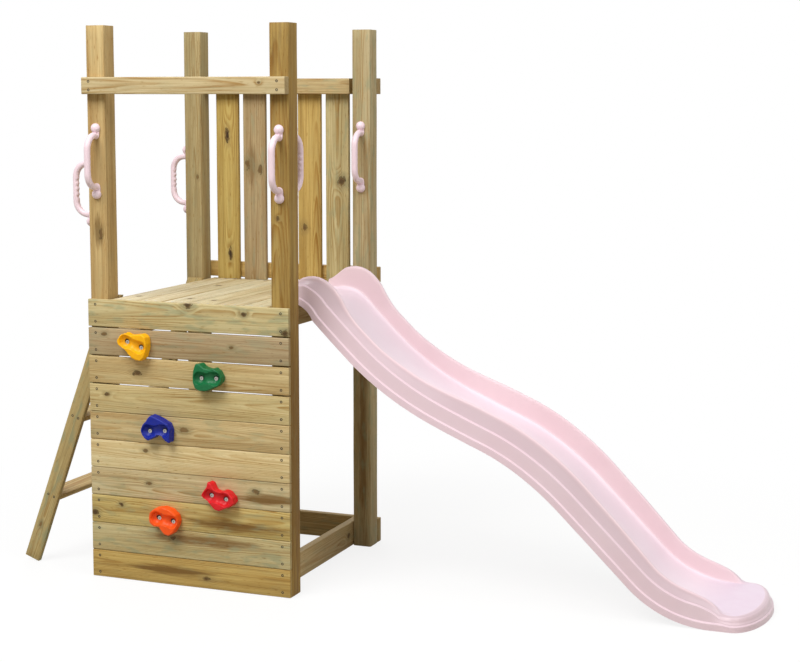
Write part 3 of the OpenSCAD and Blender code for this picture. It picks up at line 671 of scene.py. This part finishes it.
class CLIMBFRAME_OT_wall(bpy.types.Operator):
    """Ten planks of the climbing wall"""
    bl_idname = "climbframe.wall"
    bl_label = "Climbing wall"

    SWELL = 1.2 * MM

    def execute(self, context):
        for i in range(1, 11):
            # The lowest six gaps have closed up
            swell = (self.SWELL if 1 < i <= 7 else 0, self.SWELL if i <= 6 else 0)
            straight_board(f"wall_plank_{i}", X, Z, swell=swell)
        return {"FINISHED"}


class CLIMBFRAME_OT_base(bpy.types.Operator):
    """Base beams and deck joists"""
    bl_idname = "climbframe.base"
    bl_label = "Beams and joists"

    def execute(self, context):
        for node in ("base_beam_left", "base_beam_right", "deck_joist_left", "deck_joist_right"):
            straight_board(node, Y, Z)
        for node in ("base_beam_back", "deck_joist_front", "deck_joist_back"):
            straight_board(node, X, Z)
        return {"FINISHED"}


class CLIMBFRAME_OT_deck(bpy.types.Operator):
    """Six boards of the deck"""
    bl_idname = "climbframe.deck"
    bl_label = "Deck"

    def execute(self, context):
        for i in range(1, 7):
            straight_board(f"deck_board_{i}", Y, X, slot="deck_pine")
        return {"FINISHED"}


class CLIMBFRAME_OT_guard(bpy.types.Operator):
    """Rails and slats round the deck"""
    bl_idname = "climbframe.guard"
    bl_label = "Rails and slats"

    def execute(self, context):
        for node in ("front_rail", "back_rail_top", "back_rail_low", "back_rail_inner"):
            straight_board(node, X, Z)
        for i in range(1, 6):
            straight_board(f"slat_{i}", Z, X)
        return {"FINISHED"}


class CLIMBFRAME_OT_ladder(bpy.types.Operator):
    """Leaning ladder: two sides with level tops and three flat rungs"""
    bl_idname = "climbframe.ladder"
    bl_label = "Ladder"

    LEAN = math.radians(20.2)
    WIDTH = 60 * MM
    RUNG = 20 * MM

    def execute(self, context):
        up = Vector((math.sin(self.LEAN), 0, math.cos(self.LEAN)))
        out = Vector((-math.cos(self.LEAN), 0, math.sin(self.LEAN)))
        for node in ("ladder_side_front", "ladder_side_back"):
            lo, hi = (Vector(c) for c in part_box(node))
            length = (hi.z - lo.z) / up.z
            # The inner corner of the foot stands on the ground
            foot = Vector((lo.x - out.x * self.WIDTH, (lo.y + hi.y) / 2, lo.z))
            middle = foot + up * length / 2 + out * self.WIDTH / 2
            axes = (up, out, up.cross(out))
            top = Vector([(Vector((foot.x, foot.y, hi.z)) - middle).dot(a) for a in axes])
            level = Vector([Z.dot(a) for a in axes])
            board(node, axes, (length, self.WIDTH, hi.y - lo.y), middle, trim=(top, level))
        for i in (1, 2, 3):
            lo, hi = (Vector(c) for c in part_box(f"ladder_rung_{i}"))
            axes = (Y, out, Y.cross(out))
            board(f"ladder_rung_{i}", axes, (hi.y - lo.y, self.WIDTH, self.RUNG), (lo + hi) / 2)
        return {"FINISHED"}


# Handles

# The side that each handle faces
HANDLES = {"handle_front_left": -Y, "handle_side_left": -X, "handle_side_back": -X,
           "handle_front_right": -Y, "handle_back_right": -Y, "handle_inner_right": Y}
# Bolts and feet from a handle's middle, the grip from the post, and the bend at each end of the grip
BOLT_OFF, FOOT_OFF, GRIP_OUT, BEND = 110 * MM, 86 * MM, 58 * MM, 46 * MM
# Radii of the grip, of the foot round the bolt and of the foot's inner end, and heights of foot and cap
GRIP_R, FOOT_R, HEEL_R, FOOT_H, CAP_H = 11 * MM, 16.5 * MM, 13 * MM, 5 * MM, 13 * MM


def facing(place, side):
    """Turns a piece made with Y up and Z out so that it sits at place and looks to side."""
    axes = (Z.cross(side), Z, side)
    return Matrix.Translation(place) @ Matrix(axes).transposed().to_4x4()


def seat(node, side):
    """The middle of a handle's seat on its post."""
    lo, hi = (Vector(c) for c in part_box(node))
    return (lo + hi) / 2 - side * abs((hi - lo).dot(side)) / 2


class CLIMBFRAME_OT_handles(bpy.types.Operator):
    """Six bowed handles with finger grooves, and a domed cap over each bolt"""
    bl_idname = "climbframe.handles"
    bl_label = "Handles"

    GROOVES, PITCH, DEPTH = 4, 18 * MM, 3.2 * MM

    def grip(self):
        """The bowed tube: up from one foot, round a bend, along, round a bend and down."""
        clear_selection()
        bpy.ops.mesh.primitive_circle_add(vertices=32, radius=GRIP_R, location=(0, -FOOT_OFF, 0))
        tube = added()
        edit(tube)
        bpy.ops.mesh.select_all(action="SELECT")
        rise, run, steps = GRIP_OUT - BEND, 2 * (FOOT_OFF - BEND), 36
        extrude(0, 0, rise)
        bpy.ops.mesh.spin(steps=14, angle=math.pi / 2, center=(0, -FOOT_OFF + BEND, rise), axis=(1, 0, 0))
        for _ in range(steps):
            extrude(0, run / steps, 0)
        bpy.ops.mesh.spin(steps=14, angle=math.pi / 2, center=(0, FOOT_OFF - BEND, rise), axis=(1, 0, 0))
        extrude(0, 0, -rise)
        bpy.ops.mesh.select_all(action="SELECT")
        bpy.ops.mesh.remove_doubles(threshold=1e-6)
        bpy.ops.mesh.select_all(action="DESELECT")
        bpy.ops.mesh.select_non_manifold()
        bpy.ops.mesh.edge_face_add()
        turn_outwards()
        return tube

    def execute(self, context):
        tube = self.grip()
        # Finger grooves on the side of the grip that faces the post
        reach = self.GROOVES * self.PITCH / 2
        for vertex in tube.data.vertices:
            p = vertex.co
            inner = (GRIP_OUT - p.z) / GRIP_R
            if abs(p.y) < reach and p.z > GRIP_OUT - 1.05 * GRIP_R and inner > 0:
                turn = (p.y + self.PITCH * (self.GROOVES - 1) / 2) / self.PITCH
                p.z += self.DEPTH * (0.5 + 0.5 * math.cos(2 * math.pi * turn)) * inner
        solids = [tube]
        for sign in (-1, 1):
            for radius, off in ((FOOT_R, BOLT_OFF), (HEEL_R, FOOT_OFF)):
                bpy.ops.mesh.primitive_cylinder_add(vertices=48, radius=radius, depth=FOOT_H,
                                                    location=(0, sign * off, FOOT_H / 2))
                solids.append(added())
            bpy.ops.mesh.primitive_cube_add(size=1, scale=(2 * HEEL_R, BOLT_OFF - FOOT_OFF, FOOT_H),
                                            location=(0, sign * (BOLT_OFF + FOOT_OFF) / 2, FOOT_H / 2))
            solids.append(added())
        handle = join(solids, "handle")
        soften(handle, 1.3 * MM, 6)
        pink = settings().plastic.handle
        satin = finished("Polyethylene, blow moulded, handles", lambda n: moulded_pink(n, 2.5, 0.34))
        for node, side in HANDLES.items():
            piece = copy_of(handle, node + "_grip")
            piece.matrix_world = facing(seat(node, side), side)
            apply_all(piece)
            smooth(piece, 60)
            mark(piece, "tone", [pink] * len(piece.data.vertices))
            hand_over(piece, satin, "handle_plastic", node)
        remove(handle)

        # A cap is the upper part of a ball, with a small rounded brim
        ball = (FOOT_R ** 2 + CAP_H ** 2) / (2 * CAP_H)
        clear_selection()
        bpy.ops.mesh.primitive_uv_sphere_add(segments=48, ring_count=32, radius=ball,
                                             location=(0, 0, FOOT_H + CAP_H - ball))
        cap = added()
        edit(cap)
        bpy.ops.mesh.select_all(action="SELECT")
        bpy.ops.mesh.bisect(plane_co=(0, 0, FOOT_H), plane_no=(0, 0, 1), use_fill=True, clear_inner=True)
        bevel_sharp(40, 1.2 * MM, 3)
        caps = []
        for node, side in HANDLES.items():
            for off in (-BOLT_OFF, BOLT_OFF):
                twin = copy_of(cap, "cap")
                twin.matrix_world = facing(seat(node, side), side) @ Matrix.Translation((0, off, 0))
                apply_all(twin)
                caps.append(twin)
        remove(cap)
        caps = join(caps, "handle_caps_domed")
        smooth(caps, 60)
        mark(caps, "tone", [pink] * len(caps.data.vertices))
        hand_over(caps, satin, "handle_plastic", "handle_caps")
        return {"FINISHED"}


# Climbing stones

# Middle of each stone on the wall, outline and bolts, in millimetres; outlines read off one by one
Stone = namedtuple("Stone", "middle outline bolts")
STONES = {
    "yellow": Stone((185.0, 809.0), (
        (-56, 17), (-43, 36), (-26, 44), (-6, 37), (14, 39), (38, 43), (53, 32), (56, 12), (53, -11),
        (46, -36), (32, -47), (14, -46), (-4, -36), (-17, -20), (-35, -6), (-51, 3)), ((-23, 16), (29, -1))),
    "green": Stone((464.5, 720.0), (
        (-52, 2), (-48, 26), (-42, 44), (-26, 46), (-9, 33), (10, 29), (26, 33), (42, 23), (52, 4),
        (50, -12), (38, -26), (20, -34), (2, -43), (-26, -45), (-45, -37), (-52, -17)),
        ((-25, -2), (29, 0))),
    "blue": Stone((269.0, 535.5), (
        (-55, -6), (-48, 10), (-36, 24), (-25, 39), (-15, 47), (4, 40), (28, 30), (48, 21), (55, 2),
        (55, -22), (53, -44), (40, -38), (22, -22), (5, -19), (-9, -32), (-26, -40), (-42, -33), (-51, -20)),
        ((-26, -7), (30, -3))),
    "red": Stone((499.5, 324.9), (
        (-36, 50), (-42, 29), (-56, 12), (-61, 0), (-49, -10), (-30, -22), (-14, -41), (2, -47), (23, -38),
        (48, -28), (60, -15), (56, 2), (42, 17), (26, 24), (4, 16), (-12, 22), (-24, 44)),
        ((-29, 3), (24, -6))),
    "orange": Stone((293.5, 227.0), (
        (-53, 6), (-49, 25), (-30, 40), (-2, 46), (28, 39), (49, 23), (55, 2), (49, -20), (36, -40),
        (21, -50), (4, -46), (-8, -33), (-14, -21), (-33, -22), (-50, -13)), ((-22, 8), (31, 0))),
}
STONE_H = 37.5 * MM
# Bolt holes: radius, height of the seat for the bolt's head, length of the drill and width of the painted
# shade round each hole
BORE_R, BORE_SEAT, DRILL, HOLE_SHADE_WIDTH = 7.4 * MM, 14 * MM, 60 * MM, 1.6 * MM
# Steps of a stone's side: share of its height, and how far it is then drawn in
SIDE_STEPS = ((0.12, 0), (0.5, 0), (0.36, 5 * MM), (0.06, 6 * MM))
# Balls that hollow a trough from bolt to bolt: share of the way, radius and lowest point, in millimetres
TROUGH = ((0, 24, 19), (0.25, 22, 23), (0.5, 21, 25), (0.75, 22, 23), (1, 24, 19))


class CLIMBFRAME_OT_stones(bpy.types.Operator):
    """Five cast climbing stones with dished faces and counterbored bolt holes"""
    bl_idname = "climbframe.stones"
    bl_label = "Climbing stones"

    # Height and length of the skin's lumps, and the wall's face in mm
    LUMPS, LUMP_LENGTH, FACE = 1.4 * MM, 15 * MM, -16

    def body(self, stone):
        """The outline raised off the wall, drawn in towards the top and rounded."""
        clear_selection()
        bpy.ops.mesh.primitive_circle_add(vertices=len(stone.outline), radius=1, fill_type="NGON")
        piece = added()
        bm = edit(piece)
        bm.verts.ensure_lookup_table()
        for vertex, (x, y) in zip(bm.verts, stone.outline):
            vertex.co = (x * MM, y * MM, 0)
        bmesh.update_edit_mesh(piece.data)
        bpy.ops.mesh.select_all(action="SELECT")
        bpy.ops.mesh.normals_make_consistent(inside=False)
        for lift, draw in SIDE_STEPS:
            extrude(0, 0, lift * STONE_H)
            if draw:
                bpy.ops.mesh.inset(thickness=draw, use_boundary=True)
        turn_outwards()
        return piece

    def execute(self, context):
        for colour, stone in STONES.items():
            piece = self.body(stone)
            soften(piece, 1.8 * MM, 9)
            start, end = (Vector((*bolt, 0)) for bolt in stone.bolts)
            balls = []
            for share, radius, deep in TROUGH:
                place = start + (end - start) * share + Z * (deep + radius)
                bpy.ops.mesh.primitive_uv_sphere_add(segments=48, ring_count=32, radius=radius * MM,
                                                     location=place * MM)
                balls.append(added())
            dish = join(balls, "dish")
            soften(dish, 2 * MM, 6)
            cut_away(piece, dish)
            soften(piece, 1.5 * MM, 12)
            # The cast skin is lumpy
            for vertex in piece.data.vertices:
                vertex.co += vertex.normal * (noise.noise(vertex.co / self.LUMP_LENGTH) * self.LUMPS)
            for x, y in stone.bolts:
                bpy.ops.mesh.primitive_cylinder_add(vertices=40, radius=BORE_R, depth=DRILL,
                                                    location=(x * MM, y * MM, BORE_SEAT + DRILL / 2))
                cut_away(piece, added())
            piece.name = f"stone_{colour}_cast"
            holes = [Vector(bolt) * MM for bolt in stone.bolts]
            # Painted shade round each bolt hole, darkest at its edge, for the material
            shades = []
            for vertex in piece.data.vertices:
                vertex.co.z = min(max(vertex.co.z, 0), STONE_H)
                near = min((vertex.co.xy - hole).length for hole in holes)
                shades.append((clamp((BORE_R + HOLE_SHADE_WIDTH - near) / (0.75 * HOLE_SHADE_WIDTH)),) * 3)
            mark(piece, "hole", shades)
            piece.matrix_world = facing(at(stone.middle[0], self.FACE, stone.middle[1]), -Y)
            apply_all(piece)
            smooth(piece, 45)
            paint = getattr(settings().plastic, colour)
            material = finished(f"Polyester resin with sand, cast, {colour}", lambda n: cast_stone(n, paint))
            hand_over(piece, material, f"stone_{colour}", f"stone_{colour}")
        return {"FINISHED"}


# Slide

# Share of the slide's length with the slope there in degrees, and with the rim's height there
SLOPES = ((0, 0), (0.03, 0), (0.085, 45.5), (0.17, 43.5), (0.26, 33.5), (0.35, 24.5), (0.44, 22.5),
          (0.53, 34.5), (0.62, 44), (0.785, 44.5), (0.92, 0), (1, 0))
RIMS = ((0, 0.3), (0.01, 0.4), (0.024, 0.7), (0.04, 0.93), (0.055, 1), (0.07, 0.9), (0.09, 0.76),
        (0.11, 0.65), (0.13, 0.58), (0.2, 0.58), (0.3, 0.68), (0.4, 0.82), (0.5, 0.81), (0.6, 0.78),
        (0.7, 0.72), (0.8, 0.62), (0.88, 0.6), (0.91, 0.48), (0.93, 0.2), (0.94, 0), (1, 0))


def lookup(f, table):
    """Straight interpolation in a table of pairs."""
    for (a, p), (b, q) in zip(table, table[1:]):
        if f <= b:
            return p + (q - p) * (f - a) / (b - a)
    return table[-1][1]


def cut_corners(points):
    """Replaces each corner of an open line by two points, so that it runs round."""
    out = [points[0]]
    for (a, b), (c, d) in zip(points, points[1:]):
        out += [(a * 0.75 + c * 0.25, b * 0.75 + d * 0.25), (a * 0.25 + c * 0.75, b * 0.25 + d * 0.75)]
    return out + [points[-1]]


class CLIMBFRAME_OT_slide(bpy.types.Operator):
    """Wavy slide: one moulded shell with rounded rims and stepped skirts"""
    bl_idname = "climbframe.slide"
    bl_label = "Slide"

    # In millimetres: half the width, width of a side, thickness, full height of the rim, height of the bed's
    # end and length of the rounded nose; then where the bed starts, and a place over it
    HALF, SIDE, WALL, RIM, LIP, NOSE = 220.0, 55.0, 5.0, 90.0, 45.0, 95.0
    START, TOP, MIDDLE = 639.3, 963.0, 372.5
    ON_BED = (1400, MIDDLE, 540)
    # Ledges on the outside: height above the skirt's edge, at most a share of a low side
    LOW, LOW_SHARE, HIGH, HIGH_SHARE = 22.0, 0.4, 68.0, 0.72
    # Way down the slide with the skirt's depth under the bed there
    SKIRTS = ((0, 5.0), (39.7, 5.0), (149.7, 45.0))
    # Rows of vertices down the slide and in its nose, columns in half the bed, and points of its path
    STEPS, NOSE_STEPS, BED, POINTS = 150, 26, 5, 3000
    # Height below which the rim runs out, gap at the nose's end, and distance at which vertices are welded
    FADE, GAP, WELD = 25.0, 0.3, 0.02 * MM

    def section(self, rim, skirt):
        """Half of the section from the bed's middle over the rim and down the skirt: (out, up)."""
        low = min(self.LOW, self.LOW_SHARE * (rim + skirt)) - skirt
        high = min(self.HIGH, self.HIGH_SHARE * (rim + skirt)) - skirt
        foot = [(0.86, low + 4), (0.867, low + 1.5), (0.96, low - 1), (0.97, low - 4), (1, -skirt)]
        # Bed, small ledge at the wall's foot, wall, rim and stepped skirt
        side = [(-0.5, 0), *[(share, rim * up) for share, up in (
            (-0.3, 0.015), (-0.17, 0.05), (-0.12, 0.07), (-0.095, 0.095), (-0.03, 0.105), (0.005, 0.13),
            (0.12, 0.78), (0.15, 0.9), (0.19, 0.965), (0.26, 1), (0.36, 1), (0.43, 0.965), (0.465, 0.89),
            (0.48, 0.82))], (0.64, high + 4), (0.648, high + 1.5), (0.78, high - 1), (0.79, high - 4), *foot]
        # Where the rim has run out, a flat top with a rounded edge
        flat = [*[(share, 0) for share, up in side[:12]], (0.46, 0), (0.54, -0.3), (0.6, -1.2), (0.68, -4),
                (0.73, -8), (0.77, -13), (0.79, -17), *foot]
        run_out = max(0, 1 - rim / self.FADE)
        inner = self.HALF - self.SIDE
        half = [(inner + (a + (c - a) * run_out) * self.SIDE, b + (d - b) * run_out)
                for (a, b), (c, d) in zip(side, flat)]
        half = cut_corners(cut_corners(half))
        edge = half[0][0]
        return [(edge * i / self.BED, 0.0) for i in range(self.BED)] + half

    def tone(self, f, out, rim):
        """Colour at a place of the section, one pink with painted light and shade: lightest on the bed,
        darker on the nose, the walls inside the rim and the skirt, with a painted highlight on the rim's
        crest and painted shade on the side's top band.
        """
        s = settings().plastic
        share = (out - self.HALF) / self.SIDE + 1
        # Painted light and shade: the nose's end, the walls and the skirt are darker than the bed, which
        # faces up
        end = clamp((f - 0.86) / 0.06)
        wall = clamp((share + 0.1) / 0.12) * min(1, rim / self.FADE)
        # Painted highlight: the rim's crest is paler than the wall below it
        crest = max(0, 1 - abs(share - 0.31) / 0.12)
        skirt = clamp((share - 0.4) / 0.1)
        # Painted shade: the side's top band lies a little flatter than the two below it and catches more
        # light, so its colour is darkened to look no brighter
        band = clamp((share - 0.44) / 0.05) * clamp((0.67 - share) / 0.03)
        colour = Vector(s.bed).lerp(Vector(s.nose), end).lerp(Vector(s.wall), wall * (1 - 0.6 * crest))
        return colour.lerp(Vector(s.skirt), skirt) * (1 - 0.13 * band)

    def path(self):
        """The bed's length, and points down its middle: share of the length, x and height."""
        count = self.POINTS
        slopes = [math.radians(lookup((i + 0.5) / count, SLOPES)) for i in range(count + 1)]
        fall = sum(math.sin(slope) for slope in slopes[:count]) / count
        length = (self.TOP - self.LIP) / fall
        x, z, points = self.START, self.TOP, []
        for i, slope in enumerate(slopes):
            points.append((i / count, x, z))
            x += math.cos(slope) * length / count
            z -= math.sin(slope) * length / count
        return length, points

    def execute(self, context):
        length, points = self.path()
        end = (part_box("slide")[1][0] - CORNER.x) / MM - self.GAP
        stretch = (end - self.START) / (points[-1][1] - self.START)
        nose = self.NOSE / length
        xs = [(f, x) for f, x, z in points[::10]]
        zs = [(f, z) for f, x, z in points[::10]]
        half = len(self.section(1, 1))
        rows = self.STEPS + self.NOSE_STEPS
        clear_selection()
        bpy.ops.mesh.primitive_grid_add(x_subdivisions=rows, y_subdivisions=2 * half - 2, size=2)
        piece = added()
        table = []
        for i in range(rows + 1):
            phi = math.radians(90 * max(0, i - self.STEPS) / self.NOSE_STEPS)
            f = (1 - nose) * i / self.STEPS if i <= self.STEPS else 1 - nose * (1 - math.sin(phi))
            # The rim's height is evened out over a short way, so that its crest is round
            rim = self.RIM * sum(lookup(clamp(f + j * 0.004), RIMS) for j in range(-3, 4)) / 7
            table.append((f, phi, rim, self.section(rim, lookup(f * length, self.SKIRTS))))
        inner = self.HALF - self.SIDE
        tones_with_painted_light = []
        for vertex in piece.data.vertices:
            i = round((vertex.co.x + 1) / 2 * rows)
            k = round((vertex.co.y + 1) / 2 * (2 * half - 2)) - (half - 1)
            f, phi, rim, section = table[i]
            out, up = section[abs(k)]
            tones_with_painted_light.append(self.tone(f, out, rim))
            side = math.copysign(1, k) if k else 0
            g = min(f, 1 - nose)
            slope = math.radians(lookup(f, SLOPES))
            reach = self.NOSE - (self.HALF - out) if out >= inner else (self.NOSE - self.SIDE) * out / inner
            x = lookup(g, xs) + reach * math.sin(phi)
            vertex.co = at(self.START + (x - self.START) * stretch + up * math.sin(slope),
                           self.MIDDLE + side * out * math.cos(phi), lookup(f, zs) + up * math.cos(slope))
        mark(piece, "tone", tones_with_painted_light)
        edit(piece)
        bpy.ops.mesh.select_all(action="SELECT")
        bpy.ops.mesh.remove_doubles(threshold=self.WELD)
        bpy.ops.mesh.dissolve_degenerate(threshold=self.WELD)
        turn_outwards()
        bed = min(piece.data.polygons, key=lambda p: (p.center - at(*self.ON_BED)).length)
        if bed.normal.z < 0:
            piece.data.flip_normals()
        modify(piece, "SOLIDIFY", thickness=self.WALL * MM, offset=-1.0, use_even_offset=False)
        for vertex in piece.data.vertices:
            vertex.co.z = max(vertex.co.z, 0)
        piece.name = "slide_shell"
        smooth(piece, 50)
        satin = finished("Polyethylene, blow moulded, slide", lambda n: moulded_pink(n, 3.0, 0.3))
        hand_over(piece, satin, "slide_plastic", "slide")
        return {"FINISHED"}


# Fasteners and stage

class CLIMBFRAME_OT_fasteners(bpy.types.Operator):
    """Screws, bolts and nuts keep their solids and get a zinc finish"""
    bl_idname = "climbframe.fasteners"
    bl_label = "Screws and bolts"

    def execute(self, context):
        s = settings().plastic
        # The screws' dark zinc is partly painted shade, standing for their shaded countersinks
        dull = finished("Steel, zinc plated and dulled", lambda n: plated_zinc(n, s.zinc))
        bright = finished("Steel, zinc plated", lambda n: plated_zinc(n, s.bright_zinc))
        for node, zinc in (("wall_screws", dull), ("frame_screws", dull), ("handle_screws", dull),
                           ("deck_screws", bright), ("stone_bolts", bright), ("stone_nuts", bright)):
            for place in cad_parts[node].material_slots:
                place.material = zinc
        return {"FINISHED"}


class CLIMBFRAME_OT_stage(bpy.types.Operator):
    """Pale floor, white surround, soft lamps and the camera"""
    bl_idname = "climbframe.stage"
    bl_label = "Stage"

    # Camera found from the tower's corners: place in mm, turn and tilt in degrees, focal length and shift
    # in image widths, and the sensor's width in mm
    EYE, TURN, TILT = (3069.6, -4959.6, 1645.7), 21.416, 6.331
    FOCAL, RAISE, SENSOR = 1709.7 / 800, 48 / 800, 36
    # What the lamps are turned to, and each lamp's place and size in metres
    AIM = Vector((0, 0, 0.8))
    LAMPS = {"key": ((-1.3, -3.7, 5.6), 3.2), "fill": ((4.4, -1.7, 4.4), 3.0),
             "back": ((-2.6, 4.3, 3.6), 3.6)}

    def floor(self):
        """A wide painted board just under the frame."""
        clear_selection()
        bpy.ops.mesh.primitive_grid_add(x_subdivisions=8, y_subdivisions=8, size=60,
                                        location=(0, 0, -0.5 * MM))
        floor = added()
        floor.name = "floor"
        # In the picture most of its brightness is its own, and all of it further out, so that it runs into
        # the white surround and still takes the shadow; it throws back less light
        material, add, shader = start_material("Painted floor", Roughness=0.8, Specular_IOR_Level=0.1)
        seen = seen_directly(add)
        paint = add("Mix", {0: seen, 6: THROWN_BACK, 7: settings().stage.floor}, data_type="RGBA")
        feed(shader, {"Base Color": paint.outputs[2]})
        far = add("VectorMath", {0: add("TexCoord").outputs["Object"]}, "LENGTH").outputs["Value"]
        own = add("MapRange", {0: far, 1: 0.9, 2: 2.4, 3: 0.84, 4: 1.0}, **SOFT)
        own = add("Math", {0: own, 1: seen}, "MULTIPLY")
        glow = add("Emission", {"Color": (1, 1, 1), "Strength": 1.0})
        blend = add("MixShader", {0: own, 1: shader, 2: glow})
        feed(material.node_tree.nodes["Material Output"], {"Surface": blend})
        floor.data.materials.append(material)

    def lamp(self, name, place, power, size):
        """A square soft lamp that the camera doesn't see."""
        clear_selection()
        bpy.ops.object.light_add(type="AREA", location=place)
        lamp = bpy.context.object
        lamp.name = name
        lamp.data.energy = power
        lamp.data.size = size
        lamp.visible_camera = False
        lamp.rotation_euler = (self.AIM - lamp.location).to_track_quat("-Z", "Y").to_euler()

    def execute(self, context):
        s = settings().stage
        self.floor()
        for name, (place, size) in self.LAMPS.items():
            self.lamp(name, place, getattr(s, name + "_power"), size)
        world = bpy.data.worlds.new("White surround")
        world.use_nodes = True
        add = partial(add_node, world.node_tree)
        strength = add("MapRange", {0: seen_directly(add), 3: s.sky, 4: 1.0})
        feed(world.node_tree.nodes["Background"], {"Color": (1, 1, 1), "Strength": strength})
        context.scene.world = world
        context.scene.view_settings.view_transform = "Standard"
        clear_selection()
        bpy.ops.object.camera_add(location=at(*self.EYE),
                                  rotation=(math.radians(90 - self.TILT), 0, math.radians(self.TURN)))
        camera = bpy.context.object
        camera.data.sensor_width = self.SENSOR
        camera.data.lens = self.SENSOR * self.FOCAL
        camera.data.shift_y = -self.RAISE
        context.scene.camera = camera
        return {"FINISHED"}


class CLIMBFRAME_PT_panel(bpy.types.Panel):
    """Lists the steps that dress the climbing frame"""
    bl_idname = "CLIMBFRAME_PT_panel"
    bl_label = "Climbing frame"
    bl_space_type = "VIEW_3D"
    bl_region_type = "UI"
    bl_category = "Climbing frame"

    def draw(self, context):
        for step in STEPS:
            self.layout.operator(step.bl_idname)


STEPS = (CLIMBFRAME_OT_stage, CLIMBFRAME_OT_posts, CLIMBFRAME_OT_wall, CLIMBFRAME_OT_base,
         CLIMBFRAME_OT_deck, CLIMBFRAME_OT_guard, CLIMBFRAME_OT_ladder, CLIMBFRAME_OT_slide,
         CLIMBFRAME_OT_handles, CLIMBFRAME_OT_stones, CLIMBFRAME_OT_fasteners)
CLASSES = (TimberSettings, PlasticSettings, StageSettings, ClimbingFrameSettings, *STEPS,
           CLIMBFRAME_PT_panel)


def register():
    for cls in CLASSES:
        bpy.utils.register_class(cls)
    bpy.types.Scene.climbing_frame = bpy.props.PointerProperty(type=ClimbingFrameSettings)


def unregister():
    del bpy.types.Scene.climbing_frame
    for cls in reversed(CLASSES):
        bpy.utils.unregister_class(cls)


def main():
    register()
    bpy.ops.climbframe.stage()
    bpy.ops.climbframe.posts()
    bpy.ops.climbframe.wall()
    bpy.ops.climbframe.base()
    bpy.ops.climbframe.deck()
    bpy.ops.climbframe.guard()
    bpy.ops.climbframe.ladder()
    bpy.ops.climbframe.slide()
    bpy.ops.climbframe.handles()
    bpy.ops.climbframe.stones()
    bpy.ops.climbframe.fasteners()


if __name__ == "__main__":
    main()
